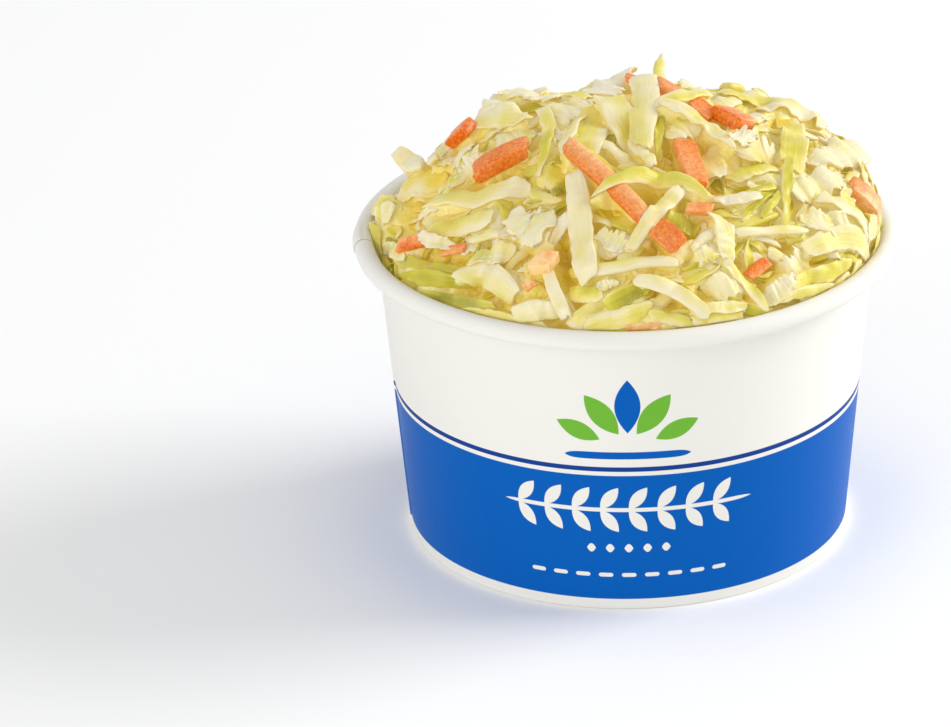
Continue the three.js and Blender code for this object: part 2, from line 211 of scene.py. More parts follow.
def clearOfCup(points):
    # places in the wall or over the bead move in towards the axis, and places in the bead straight out of
    # its round
    radius, z = np.hypot(points[..., 0], points[..., 1]), points[..., 2]
    gap, centre, low = heap["clearance"], cup["beadCentre"], cup["beadHeight"]
    limit = centre - 0.6 * cup["beadRadius"]
    inside = np.where(radius > limit, limit + 0.1 * (radius - limit), radius)
    inside = np.where(z < low, np.minimum(inside, innerRadius(np.minimum(z, low)) - gap), inside)
    r, rise = inside - centre, z - low
    distance = np.maximum(np.hypot(r, rise), 1e-6)
    clear = cup["beadRadius"] + gap
    push = np.where((distance < clear) & (rise > -1), clear / distance, 1)
    newRadius, newZ = centre + r * push, low + rise * push
    scale = newRadius / np.maximum(radius, 1e-6)
    return np.stack([points[..., 0] * scale, points[..., 1] * scale, newZ], -1)


# What a cutter leaves of a cabbage and a carrot. Lengths, widths and thicknesses in millimetres, bow and
# cupped too, twist in degrees; limp is how fast a piece sags from what holds it up; green runs from a white
# rib to a dark edge. The first row holds what most kinds share.
shred = dict(lumps=0.04, limp=0.08, ragged=0.045, wavy=0.07, square=0.7, thin=0.45, torn=0.2, smooth=1)
kinds = dict(
    rib=shred | dict(
        share=0.16, length=(9, 20), width=(1.8, 3.6), thick=(0.9, 1.6), bow=(-1.5, 1.5), twist=(-25, 25),
        lumps=0.03, cupped=(-0.2, 0.2), limp=0.03, tilt=12, ragged=0.05, wavy=0.08, ruffle=0.0, square=0.5,
        green=(0.0, 0.3), paleEdge=0.05, taper=(0.0, 0.5), smooth=2, stations=22, ring=12),
    leaf=shred | dict(
        share=0.38, length=(12, 26), width=(2.0, 4.8), thick=(0.5, 0.8), bow=(-3.5, 3.5), twist=(-60, 60),
        cupped=(-0.9, 0.9), tilt=18, ruffle=0.25, green=(0.05, 0.75), paleEdge=0.3, taper=(0.1, 1.0),
        stations=24, ring=10),
    green=shred | dict(
        share=0.12, length=(10, 22), width=(1.6, 4.0), thick=(0.35, 0.65), bow=(-3, 3), twist=(-60, 60),
        cupped=(-0.7, 0.7), tilt=20, ruffle=0.2, green=(0.5, 1.0), paleEdge=0.4, taper=(0.3, 1.0), torn=0.15,
        stations=26, ring=10),
    frilly=shred | dict(
        share=0.14, length=(7, 14), width=(3.5, 7.5), thick=(0.35, 0.7), bow=(-2, 2), twist=(-40, 40),
        lumps=0.1, cupped=(-1.0, 1.0), limp=0.15, tilt=18, ragged=0.14, wavy=0.18, ruffle=0.4,
        green=(0.0, 0.35), paleEdge=0.15, taper=(0.0, 0.8), torn=0.3, smooth=2, stations=34, ring=14),
    chopped=shred | dict(
        share=0.12, length=(4.5, 11), width=(1.2, 2.9), thick=(0.4, 1.0), bow=(-0.8, 0.8), twist=(-50, 50),
        lumps=0.06, cupped=(-0.5, 0.5), limp=0.02, tilt=28, ragged=0.12, wavy=0.15, ruffle=0.1, square=0.6,
        green=(0.0, 0.5), paleEdge=0.15, taper=(0.0, 0.8), torn=0.25, stations=12, ring=8),
    carrot=shred | dict(
        share=0.0, length=(6, 15), width=(3.2, 4.8), thick=(2.0, 3.0), bow=(-0.3, 0.3), twist=(-8, 8),
        lumps=0.02, cupped=(0, 0), limp=0.0, tilt=4, ragged=0.01, wavy=0.015, ruffle=0.0, square=0.2,
        thin=0.06, green=(0.0, 1.0), paleEdge=0.0, taper=(0.0, 0.1), torn=0.1, stations=20, ring=20),
)

# The listed shreds are drawn more finely
kinds["broadLeaf"] = kinds["leaf"] | dict(
    share=0, tilt=8, limp=0.05, ragged=0.025, wavy=0.03, cupped=(-0.6, 0.6), smooth=2, stations=50, ring=14)
kinds["broadRib"] = kinds["rib"] | dict(share=0, tilt=6, ragged=0.025, wavy=0.03, stations=36, ring=14)
kinds["broadFrilly"] = kinds["frilly"] | dict(share=0, tilt=10, ragged=0.13, stations=46, ring=16)

# Carrot sticks that show: u, v, heading, length, width, and how creamy they are
carrotSticks = [
    (-36, 4, -38, 6.2, 4.4, 0.1),
    (-28.5, -13.5, 21, 11.5, 5.6, 0.1),
    (-5, -28, -49, 25.3, 3.8, 0.35),
    (11, -20, -74, 15, 4.4, 0.2),
    (8, -42, -45, 6.4, 4.7, 0.1),
    (14, -34, 3, 5.3, 2.6, 0.4),
    (29, -44, 52, 6.1, 2.6, 0.1),
    (52, -10, -2, 9.5, 4.8, 0.45),
    (-48, -24, -37, 9.1, 2.6, 0.3),
    (-40, -32, -26, 6.9, 1.8, 0.4),
    (4, -60, 4, 8.0, 1.8, 0.6),
    (0.8, 13, -17, 5, 2.4, 0.1),
    (5, 0.5, -33, 4.4, 3.6, 0.2),
    (11.5, -3, -36, 5.2, 3.8, 0.2),
    (18, -4.5, -38, 7, 5.5, 0.15),
    (-21, -49, -167, 2.3, 1.7, 0.6),
]

# The shreds that show, the lowest first: kind, u, v, heading, length, width, thickness, how green and how
# pointed the near and the far end are, and then, where there is any: the far end's lift, the bow and the
# twist
largeShreds = [
    ("leaf", -51, 6, -41, 14, 9.0, 0.9, 0.1, 0.15, 0.3, 0.3),
    ("leaf", -30, 3, 20, 12, 9.0, 0.8, 0.15, 0.25, 0.4, 0.3, 0, 1, 8),
    ("frilly", -26, -5, 6, 8, 9.0, 0.8, 0.1, 0.2, 0.3, 0.3),
    ("leaf", 9, -4, 58, 14, 7.1, 0.9, 0.2, 0.15, 0.3, 0.3, 0, 1),
    ("leaf", 6, -2, 53, 11, 5.6, 0.8, 0.35, 0.3, 0.3, 0.4),
    ("leaf", -15, -21, 55, 10, 6.7, 0.8, 0.3, 0.4, 0.3, 0.3),
    ("leaf", -5, -57, 12, 16, 4.6, 0.9, 0.2, 0.3, 0.4, 0.3, 0, 1),
    ("leaf", -41, -20, -3, 11, 9.0, 0.8, 0.1, 0.2, 0.4, 0.3),
    ("frilly", 29, -18, 49, 13, 6.6, 0.9, 0.1, 0.15, 0.3, 0.3),
    ("leaf", -58, -3, -69, 18, 2.4, 0.8, 0.45, 0.35, 0.8, 0.3, 0, 1),
    ("leaf", -47, -29, -49, 26, 2.8, 0.7, 0.6, 0.75, 0.7, 0.6, 0, -1, 10),
    ("leaf", -44, -35, -42, 24, 3.2, 0.7, 0.9, 0.8, 0.8, 0.5, 0, -1),
    ("leaf", -40, -42, -37, 26, 3.6, 0.7, 0.75, 0.85, 0.9, 0.6, 0, -2, 10),
    ("leaf", -31, -51, -29, 17, 2.3, 0.7, 0.4, 0.3, 0.6, 0.6),
    ("leaf", -56, 3, -57, 12, 6.6, 0.9, 0.15, 0.2, 0.5, 0.2),
    ("leaf", -55, -17, -63, 19, 2.7, 0.8, 0.15, 0.25, 0.2, 0.6),
    ("leaf", -48, -3, -34, 12, 7.0, 0.8, 0.15, 0.2, 0.3, 0.4, 0, 1, 10),
    ("frilly", -46, -15, -30, 11, 6.3, 0.8, 0.1, 0.15, 0.3, 0.3),
    ("leaf", -38, -27, -16, 17, 4.7, 0.8, 0.3, 0.2, 0.7, 0.3, 0, 0, -10),
    ("leaf", -38, -10, 34, 12, 5.9, 0.8, 0.25, 0.15, 0.7, 0.2, 0, 1, 10),
    ("leaf", -37, -9, 62, 12, 4.6, 0.7, 0.3, 0.2, 0.8, 0.2, 0, 0, -15),
    ("frilly", -38, -2, -12, 7, 8.0, 0.8, 0, 0.05, 0.3, 0.3),
    ("frilly", -34, -11, 9, 7, 6.9, 0.8, 0.05, 0.1, 0.3, 0.3),
    ("leaf", -28, 2, -7, 11, 7.0, 0.7, 0.2, 0.3, 0.5, 0.3, 0, 1),
    ("leaf", -31, 19, -53, 12, 7.0, 0.8, 0.35, 0.5, 0.8, 0.2, 1),
    ("leaf", -23, 17, 54, 19, 7.0, 0.8, 0.1, 0.2, 0.4, 0.2, 1, 2),
    ("frilly", -21, 15, -42, 14, 8.0, 0.8, 0.05, 0.15, 0.3, 0.3, 1),
    ("frilly", -15, 1, 37, 10, 8.0, 0.8, 0.1, 0.1, 0.3, 0.3),
    ("leaf", -10, 12, 44, 10, 7.0, 0.7, 0.35, 0.25, 0.3, 0.3, 1),
    ("frilly", -5, 14, 57, 12, 8.0, 0.9, 0.05, 0.1, 0.2, 0.2, 1),
    ("frilly", -18, -10, 47, 5, 5.9, 0.8, 0.05, 0.1, 0.3, 0.3),
    ("leaf", -8, -13, 45, 10, 4.8, 0.7, 1, 0.95, 0.4, 0.6),
    ("leaf", -16, -18, 28, 5, 4.4, 0.7, 0.75, 0.6, 0.4, 0.6),
    ("leaf", -15, -26, 39, 5, 3.0, 0.7, 0.9, 0.8, 0.4, 0.6),
    ("leaf", -4, -22, -46, 16, 3.0, 0.7, 0.4, 0.45, 0.5, 0.6, 0, -1, 10),
    ("leaf", -3, -17, -41, 10, 3.3, 0.8, 0.2, 0.15, 0.4, 0.4),
    ("leaf", 4, -25, -30, 17, 3.3, 0.8, 0.4, 0.5, 0.6, 0.5, 0, 1, 10),
    ("leaf", 10, -10, -28, 12, 3.5, 0.7, 0.25, 0.2, 0.4, 0.9),
    ("leaf", 12, -8, -32, 18, 3.1, 0.7, 0.3, 0.25, 0.3, 0.95),
    ("leaf", 8, 7, 47, 16, 3.9, 0.8, 0.3, 0.35, 0.8, 0.3, 1, -1),
    ("frilly", 9, -10, 36, 7, 5.0, 0.8, 0.15, 0.1, 0.3, 0.3),
    ("frilly", 18, -15, 26, 13, 8.0, 0.9, 0.05, 0.1, 0.2, 0.3),
    ("frilly", 25, -9, 40, 14, 8.0, 0.9, 0.1, 0.1, 0.3, 0.3),
    ("leaf", 24, -18, 35, 11, 5.3, 0.7, 0.45, 0.35, 0.4, 0.4),
    ("leaf", 17, 7, 54, 12, 4.1, 0.8, 0.15, 0.1, 0.3, 0.3),
    ("frilly", 23, 3, 52, 13, 5.3, 0.9, 0.05, 0.05, 0.3, 0.3, 0, 1),
    ("frilly", 19, -10, -21, 7, 5.2, 0.8, 0.1, 0.05, 0.3, 0.3),
    ("leaf", 25, 16, 31, 20, 7.0, 0.8, 0.35, 0.25, 0.5, 0.5, 1, 1),
    ("frilly", 44, 2, 59, 22, 7.3, 1, 0.05, 0, 0.2, 0.3, 1),
    ("leaf", 46, -15, -75, 10, 4.1, 0.7, 0.35, 0.4, 0.3, 0.5),
    ("frilly", 39, -16, 52, 15, 7.1, 0.9, 0.1, 0.15, 0.3, 0.3),
    ("frilly", 43, -26, 31, 14, 5.1, 0.9, 0.1, 0.15, 0.3, 0.3),
    ("leaf", 48, -28, 39, 25, 4.9, 0.9, 0.15, 0.25, 0.3, 0.5, 0, 1),
    ("leaf", 44, -37, 45, 21, 3.5, 0.8, 0.4, 0.5, 0.4, 0.6, 0, -1),
    ("leaf", 42, -43, 39, 18, 2.3, 0.8, 0.35, 0.3, 0.5, 0.6),
    ("leaf", 13, -44, 36, 12, 3.8, 0.8, 0.15, 0.2, 0.4, 0.2, 0, 0, 8),
    ("leaf", 17, -41, 40, 10, 2.5, 0.8, 0.1, 0.15, 0.4, 0.4, 0, 1, 8),
    ("leaf", 11, -38, -18, 7, 5.2, 0.7, 0.75, 0.8, 0.2, 0.4),
    ("frilly", 17, -44, 45, 6, 2.9, 0.8, 0.1, 0.1, 0.3, 0.3),
    ("frilly", 22, -50, 26, 11, 5.0, 0.9, 0.05, 0.1, 0.3, 0.3),
    ("frilly", 34, -47, 57, 9, 4.0, 0.9, 0.1, 0.1, 0.5, 0.3),
    ("leaf", -3, -43, 27, 8, 5.4, 0.7, 0.1, 0.15, 0.3, 0.3),
    ("frilly", -4, -42, -32, 7, 3.7, 0.8, 0.05, 0.1, 0.3, 0.3),
    ("leaf", 0, -54, 18, 10, 3.9, 0.8, 0.6, 0.85, 0.5, 0.4),
    ("leaf", -9, -53, -9, 8, 3.4, 0.8, 0.4, 0.45, 0.3, 0.5),
    ("leaf", -2, -58, 11, 15, 3.8, 0.9, 0.2, 0.3, 0.7, 0.3),
    ("leaf", 11, -58, -4, 12, 2.6, 0.8, 0.4, 0.3, 0.3, 0.6),
    ("leaf", 21, -56, 16, 13, 3.0, 0.8, 0.35, 0.4, 0.3, 0.5),
    ("leaf", 22, -54, 15, 12, 2.2, 0.8, 0.25, 0.3, 0.4, 0.5),
    ("frilly", -20, -46, -40, 7, 3.4, 0.8, 0.15, 0.2, 0.3, 0.3),
    ("leaf", -19, -51, -42, 7, 2.7, 0.8, 0.4, 0.3, 0.3, 0.4),
    ("leaf", -32, -44, -37, 19, 5.6, 0.9, 0.25, 0.2, 0.95, 0.3, 0, 1, 8),
    ("frilly", -30, -39, -15, 11, 3.9, 0.8, 0.25, 0.2, 0.6, 0.3),
    ("rib", -20, -54, -9, 10, 3.8, 1.6, 0.05, 0.1, 0.1, 0.2),
    ("leaf", -9, -11, 80, 23, 9, 0.8, 0.3, 0.25, 0.6, 0.05, 2, 1, -12),
    ("leaf", -2, -8, -59, 20, 6.5, 0.8, 0.25, 0.3, 0.1, 0.6, 0, -1, 10),
    ("leaf", -13, -12, 83, 15, 3.6, 0.7, 0.2, 0.3, 0.6, 0.4, 0, 1, -10),
    ("leaf", 4, -8, 97, 21, 2.0, 0.9, 0.85, 0.6, 0.7, 0.3, 2),
    ("leaf", -20, -9, -90, 26, 3.2, 0.8, 0.3, 0.5, 0.1, 0.6, 0, 1, 8),
    ("leaf", 32, -2, -84, 26, 6.5, 0.8, 0.25, 0.4, 0.2, 0.6, 0, 1, -10),
    ("leaf", 33, 13, 27, 20, 7.0, 0.9, 0.15, 0.2, 0.6, 0.1, 2, 1, 8),
    ("leaf", 27, -28, 61, 15, 2.8, 0.8, 0.5, 0.8, 0.9, 0.2, 0, 1, 15),
    ("leaf", 25, -27, 51, 13, 2.3, 0.8, 0.4, 0.7, 0.8, 0.2, 0, 1, -10),
    ("leaf", 29, -28, 71, 10, 1.9, 0.7, 0.6, 0.8, 0.8, 0.2),
    ("leaf", 32, -23, -86, 23, 2.5, 1.1, 0.8, 0.55, 0.3, 0.8),
    ("leaf", 47, -21, 1, 16, 4.7, 0.9, 0.1, 0.15, 0.3, 0.6, 0, 1, 8),
    ("rib", 30, -35, 23, 17, 2.0, 1.2, 0.05, 0.1, 0.1, 0.6),
    ("leaf", 20, -28, 5, 12, 3.6, 0.9, 0.05, 0.1, 0.2, 0.5, 0, -1, 8),
    ("leaf", 19, -40, -68, 11, 4.8, 0.9, 0.1, 0.25, 0.2, 0.4, 0, 1, 12),
    ("leaf", 27, -48, -28, 14, 2.2, 0.8, 0.35, 0.3, 0.3, 0.9, 0, -1, -8),
    ("rib", -1, -48, 2, 23, 2.8, 1.2, 0.3, 0.15, 0.2, 0.4, 0, 0, -6),
    ("rib", 10, -54, -17, 17, 2.9, 1.6, 0.05, 0.15, 0.1, 0.1, 0, 1),
    ("rib", -15, -52, -69, 10, 2.8, 1.7, 0.05, 0.1, 0.1, 0),
    ("rib", -30, -34, -23, 13, 2.2, 1.2, 0.1, 0.05, 0.3, 0.3),
    ("frilly", -20, -36, -21, 14, 7.6, 0.9, 0.05, 0.1, 0.3, 0.2),
    ("frilly", -21, -37, -52, 14, 5.4, 0.9, 0.1, 0.05, 0.2, 0.3),
    ("frilly", -19, -37, 63, 9, 5.5, 0.9, 0.05, 0.1, 0.3, 0.3),
    ("rib", -47, 7, 96, 13, 4.0, 2.8, 0.0, 0, 0.1, 0.3, 6),
    ("leaf", -55, 2, 107, 17, 4.2, 0.9, 0.5, 0.35, 0.3, 0.3, 2),
    ("leaf", -55, -3, 117, 10, 4.4, 0.9, 0.1, 0.2, 0.4, 0.3, 1),
    ("leaf", -60, 2, 92, 9, 3.0, 0.9, 0.1, 0.2, 0.3, 0.4, 1),
    ("leaf", -60, -1, 98, 14, 4.2, 0.9, 0.55, 0.3, 0.3, 0.4, 0),
    ("rib", -43, 4, -84, 16, 2.1, 1.6, 0.1, 0, 0.1, 0.1, 1),
    ("frilly", -4, -52, 4, 4, 1.8, 0.9, 0.1, 0.1, 0.2, 0.2),
    ("green", 5, 15, 84, 33, 2.6, 0.9, 0.5, 0.3, 0.5, 0.7, 6.2),
    ("rib", 1, -18, -63, 11, 2.7, 1.3, 0, 0.05, 0.1, 0.2, 0, 1),
    ("frilly", 54, -17, 79, 8, 4.9, 0.9, 0.2, 0.25, 0.3, 0.8, 1),
]

# These lie on top of the carrots
overShreds = [
    ("leaf", 8.2, 0, 49, 15, 3.6, 0.8, 0.3, 0.15, 0.5, 0.3, 0, -1, 8),
    ("leaf", 11.5, -10, -31, 18, 2.8, 0.8, 0.3, 0.25, 0.3, 0.7, 0, 1),
    ("leaf", 1, -5, 92, 22, 5.2, 0.8, 0.4, 0.05, 0.2, 0, 1.5, 0, 8),
    ("leaf", -34, -19.5, -15, 24, 5.0, 0.9, 0.35, 0.15, 0.9, 0, 0, -2, 12),
    ("leaf", 4, -32, 5, 23, 3.5, 0.8, 0.5, 0.45, 0.9, 0.6, 0, 5, 12),
    ("leaf", -10, -38, -82, 26, 5.2, 1, 0.0, 0.1, 0.35, 0.05, 0, 0, 6),
    ("leaf", 5, -37, -122, 18, 3.5, 1, 0.25, 0.15, 0.1, 0.3, 0, 0, 8),
    ("frilly", -43, -28, -45, 10, 2.3, 0.8, 0.05, 0.05, 0.4, 0.3),
    ("carrot", -17, -46, -8, 4.5, 3.6, 2.8, 0.85, 0.85, 0.1, 0.1),
]

packing = dict(
    cell=0.5, reach=70.0, bottom=-6.4, level=-3.1, sink=0.3, over=1.4, looks=36, nearFoot=12.0,
    bits=560, largest=2600, edgePieces=70, crumbs=24, latePieces=110, lateBits=40,
    scatterCount=138, scatterSeed=29, scatterTurn=2.39996, scatterGap=3.4,
)
cells = int(2 * packing["reach"] / packing["cell"]) + 1
tops = np.full((cells, cells), packing["bottom"])  # how high the heap is filled, over its spread-out surface
cellPlaces = np.arange(cells) * packing["cell"] - packing["reach"]
fromTop = np.hypot(cellPlaces[:, None], cellPlaces[None])
pieces = {name: [] for name in kinds}

# What the level to fill to is raised by: round the rim, more at its left, and on the left shoulder. The
# crest has rows of place and change of level, where the outline seen from the front dips or rises, and the
# holes have rows of place, radius and depth, for the deep gaps between the shreds.
levels = dict(
    rimRise=2.4, leftRise=1.8, leftAngle=195, shoulder=(-24, 14), shoulderRise=3.2, shoulderSpread=260,
    crestSpread=70,
    crest=np.array([
        (-56, 10, -2.0), (-47.5, 18.2, -2.4), (-39.2, 22.5, 0.4), (-28.8, 26.2, -1.4), (-22, 27.5, -0.6),
        (-15.2, 30.5, -1.8), (-9, 29, -2.2), (-2.5, 30.8, 0.2), (3.5, 29.2, 1.0), (8.8, 28.5, 0.6),
        (14.8, 26.5, -1.4), (21, 25.2, -0.6), (27.5, 23.8, 2.0), (32, 22.2, 2.8), (38, 20, 1.4),
        (41.8, 18, 0.4), (45.8, 15.2, -0.6), (50.2, 11.8, 0.4), (55.8, 6.2, -0.6),
    ]),
    holes=np.array([
        (-15, -41.8, 2.6, 4.5), (-12.5, -45.5, 2, 3.5), (-4.2, -44.5, 1.3, 3.5), (-31.5, -49.8, 2.6, 3.5),
        (-38, -44, 2, 2.5), (30.5, -48.8, 1.8, 3.0),
    ]),
)


def bell(u, v, spread):
    # 1 at a place on the heap, and exp(-distance^2 / spread) round it
    return np.exp(-((cellPlaces[:, None] - u) ** 2 + (cellPlaces[None] - v) ** 2) / spread)


def levelToFill():
    # the mean level with its rises added; the crest's changes are mixed by how near each of its rows is
    level = packing["level"] + levels["rimRise"] * smoothStep(44, 58, fromTop)
    near = [bell(u, v, levels["crestSpread"]) for u, v, _ in levels["crest"]]
    level = level + np.tensordot(levels["crest"][:, 2], near, 1) / np.maximum(1, np.sum(near, axis=0))
    phi = np.arctan2(cellPlaces[None], cellPlaces[:, None])
    fromLeft = np.abs(np.angle(np.exp(1j * (phi - math.radians(levels["leftAngle"])))))
    level = level + levels["leftRise"] * smoothStep(46, 58, fromTop) * (1 - smoothStep(0.2, 0.9, fromLeft))
    return level + levels["shoulderRise"] * bell(*levels["shoulder"], levels["shoulderSpread"])


holeField = sum(depth * bell(u, v, radius ** 2) for u, v, radius, depth in levels["holes"])
wanted = levelToFill() - holeField


def cellOf(u, v):
    # the numbers of the cell that holds a place
    numbers = [((w + packing["reach"]) / packing["cell"] + 0.5).astype(int) for w in (u, v)]
    return tuple(np.clip(number, 0, cells - 1) for number in numbers)


def stationPlaces(count):
    # places from -1 to 1 along a piece, close together at its two cut ends
    return np.concatenate([[-1, -0.975], np.linspace(-0.93, 0.93, count - 4), [0.975, 1]])


def blurred(values, weights=(0.25, 0.5, 0.25), times=1):
    # each value mixed with its neighbours along the first axis
    for _ in range(times):
        padded = np.concatenate([values[:1], values, values[-1:]])
        values = weights[0] * padded[:-2] + weights[1] * padded[1:-1] + weights[2] * padded[2:]
    return values


def wander(count, stations, columns, passes):
    # noise of unit spread that changes smoothly along each piece
    field = blurred(random.normal(size=(stations, count, columns)), times=passes)
    return np.moveaxis(field / field.std(), 0, 1)


# How a piece rests: the share of its width that feels for support, how much the highest support counts, the
# steepest slope of a stiff piece and the share of its support that it clears, the most that it leans and how
# closely it follows its support, and the steps in millimetres in which its own top is marked
resting = dict(feel=0.42, highest=0.6, slope=0.35, clears=0.8, lean=0.5, follow=0.7, mark=0.35)


def layPiece(kind, u, v, heading, length, width, thick, greens, points=None, tip=0, bow=0, twist=0, over=99):
    # lays a piece on what is already there. It touches the highest places under it, and sags between them in
    # parabolas, or keeps straight where it is stiff; then its own top raises the level for the next one.
    k = kinds[kind]
    limp = k["limp"] > 0
    s = stationPlaces(k["stations"])
    turn, along = math.radians(heading), s * length / 2
    sway, phase = random.uniform(-1, 1), random.uniform(0, 6)
    wiggle = 0.03 * length * (1 - k["square"] * 0.5) * sway * np.sin(3.1 * s + phase)
    sideways = bow * (1 - s * s) + wiggle * limp
    pathU = u + along * math.cos(turn) - sideways * math.sin(turn)
    pathV = v + along * math.sin(turn) + sideways * math.cos(turn)
    ahead = np.stack([np.gradient(pathU, s), np.gradient(pathV, s)], -1)
    ahead /= np.linalg.norm(ahead, axis=-1, keepdims=True)
    offsets = np.linspace(-resting["feel"], resting["feel"], 5) * width
    under = tops[cellOf(pathU[:, None] - ahead[:, 1:] * offsets, pathV[:, None] + ahead[:, :1] * offsets)]
    level = resting["highest"] * under.max(1) + (1 - resting["highest"]) * under.mean(1)
    lean = np.arctan((under[:, 3:].mean(1) - under[:, :2].mean(1)) / (0.6 * width))
    if limp:
        held = (level[None] - k["limp"] * (along[:, None] - along[None]) ** 2).max(1)
        held = blurred(held, times=2)
        lean = blurred(lean, times=6)
    else:
        held = np.clip(np.polyfit(along, level, 1)[0], -resting["slope"], resting["slope"]) * along
        held = held + np.quantile(level - held, resting["clears"])
        lean = lean.mean()
    lean = np.clip(lean, -resting["lean"], resting["lean"]) * resting["follow"]
    h = np.minimum(held, wanted[cellOf(pathU, pathV)] + over) + thick / 2 - packing["sink"]
    h = h + tip * np.maximum(0, s) ** 2
    roll = lean + np.radians(twist * s + k["tilt"] * random.uniform(-1, 1))
    if points is None:
        points = random.uniform(*k["taper"], 2)
    pieces[kind].append(dict(
        path=np.stack([pathU, pathV, h], -1), roll=roll, width=width, thick=thick, greens=greens,
        points=points, cupped=random.uniform(*k["cupped"]), length=length))
    fine = np.linspace(-1, 1, max(4, int(length / resting["mark"])))
    offsets = np.linspace(-0.45, 0.45, max(3, int(width / resting["mark"]))) * width
    lines = (pathU, pathV, h, np.sin(roll), ahead[:, 0], ahead[:, 1])
    fineU, fineV, fineH, sine, aheadU, aheadV = (np.interp(fine, s, line)[:, None] for line in lines)
    where = cellOf(fineU - aheadV * offsets, fineV + aheadU * offsets)
    np.maximum.at(tops, where, fineH + thick / 2 + sine * offsets)


def randomPiece(kind, u, v, longest=99):
    # a piece of one kind with its measures drawn from that kind's ranges; near the foot it lies along the rim
    k = kinds[kind]
    outer = math.hypot(u, v) > outlineLength - packing["nearFoot"]
    if outer:
        heading = math.degrees(math.atan2(v, u)) + 90 + random.uniform(-35, 35)
    else:
        heading = random.uniform(0, 180)
    drawn = ("length", "width", "thick", "bow", "twist")
    length, width, thick, bow, twist = (random.uniform(*k[key]) for key in drawn)
    first = random.uniform(*k["green"])
    second = np.clip(first + random.uniform(-0.25, 0.25), 0, 1)
    if random.uniform() < 0.5:
        heading += 180
    length = min(length, longest, 14 if outer else 99)
    greens = (first, second)
    layPiece(kind, u, v, heading, length, width, thick, greens, bow=bow, twist=twist, over=packing["over"])


def lowSpot(radius, kept=0.0):
    # the lowest of a few places drawn at random on the heap, leaving out those that are kept as they are
    distance = radius * np.sqrt(random.uniform(size=packing["looks"]))
    phi = random.uniform(0, tau, packing["looks"])
    u, v = distance * np.cos(phi), distance * np.sin(phi)
    best = np.argmin((tops - wanted + 99 * kept)[cellOf(u, v)])
    return u[best], v[best]


def meanLevel(over=0.0):
    # how high the heap is filled on average, over a level
    return (tops - over)[fromTop < outlineLength - 1].mean()


def drawer(seed):
    # draws numbers between two bounds, the same ones for the same seed
    state = seed

    def draw(low, high):
        nonlocal state
        state = (state * 1664525 + 1013904223) % 2 ** 32
        return low + (high - low) * state / 2 ** 32
    return draw


def layScattered(listed):
    # the shreds of the solid heap, on a sunflower spiral, leaving room for the listed ones, which are rows of
    # place, heading, length and width
    draw = drawer(packing["scatterSeed"])
    placeU, placeV, heading, lengths, widths = np.array(listed).T
    cosine, sine = np.cos(np.radians(heading)), np.sin(np.radians(heading))
    for i in range(packing["scatterCount"]):
        distance = outlineLength * 0.98 * math.sqrt((i + 0.5) / packing["scatterCount"])
        phi = i * packing["scatterTurn"]
        u, v = distance * math.cos(phi), distance * math.sin(phi)
        outer = distance > outlineLength - packing["nearFoot"]
        heading = math.degrees(phi) + 90 + draw(-30, 30) if outer else draw(0, 180)
        length, width, thick = draw(13, 24), draw(3.4, 7), draw(1.1, 1.9)
        draw(-0.6, 1)  # how far the solid's shred rises and tips, which follow what it lies on here
        draw(-2, 2)
        bow, twist = draw(-3, 3), draw(-20, 20)
        along = np.abs((u - placeU) * cosine + (v - placeV) * sine)
        across = (v - placeV) * cosine - (u - placeU) * sine
        past = np.maximum(0, along - lengths / 2)
        if (np.hypot(past, across) < widths / 2 + packing["scatterGap"]).any():
            continue
        inner = 1 if distance < outlineLength - 8 else 0.94
        place = (u * inner, v * inner, heading)
        if i % 9 == 4:
            layPiece("carrot" if v > 36 else "rib", *place, length * 0.6, 4.2, 2.2, (0.2, 0.2))
            continue
        kind = random.choice(["rib", "leaf", "leaf", "green", "frilly"])
        first = random.uniform(*kinds[kind]["green"])
        width = min(width, 5) if kind == "rib" else width
        thick = thick if kind == "rib" else thick * 0.55
        greens, over = (first, first * 0.8), packing["over"] + 0.6
        layPiece(kind, *place, length, width, thick, greens, bow=bow, twist=twist, over=over)


def layListed(rows):
    # listed shreds, in their finer kinds
    finer = dict(leaf="broadLeaf", green="broadLeaf", rib="broadRib", frilly="broadFrilly")
    for kind, u, v, heading, length, width, thick, greenNear, greenFar, pointNear, pointFar, *rest in rows:
        ends = ((greenNear, greenFar), (pointNear, pointFar))
        layPiece(finer.get(kind, kind), u, v, heading, length, width, thick, *ends, *rest)


def layEdge():
    # a row of thicker pieces along the cup's wall, at a drawn place in each equal part of the round
    for i in range(packing["edgePieces"]):
        phi = (i + random.uniform(-0.5, 0.5)) / packing["edgePieces"] * tau
        distance = outlineLength - random.uniform(-1.5, 3)
        kind = random.choice(["leaf", "rib", "chopped", "green"], p=[0.4, 0.2, 0.3, 0.1])
        heading = math.degrees(phi) + 90 + random.uniform(-25, 25)
        length, width, thick = random.uniform(6, 12), random.uniform(2.4, 4.2), random.uniform(0.8, 1.5)
        place = (distance * math.cos(phi), distance * math.sin(phi), heading)
        layPiece(kind, *place, length, width, thick, random.uniform(0, 0.7, 2))


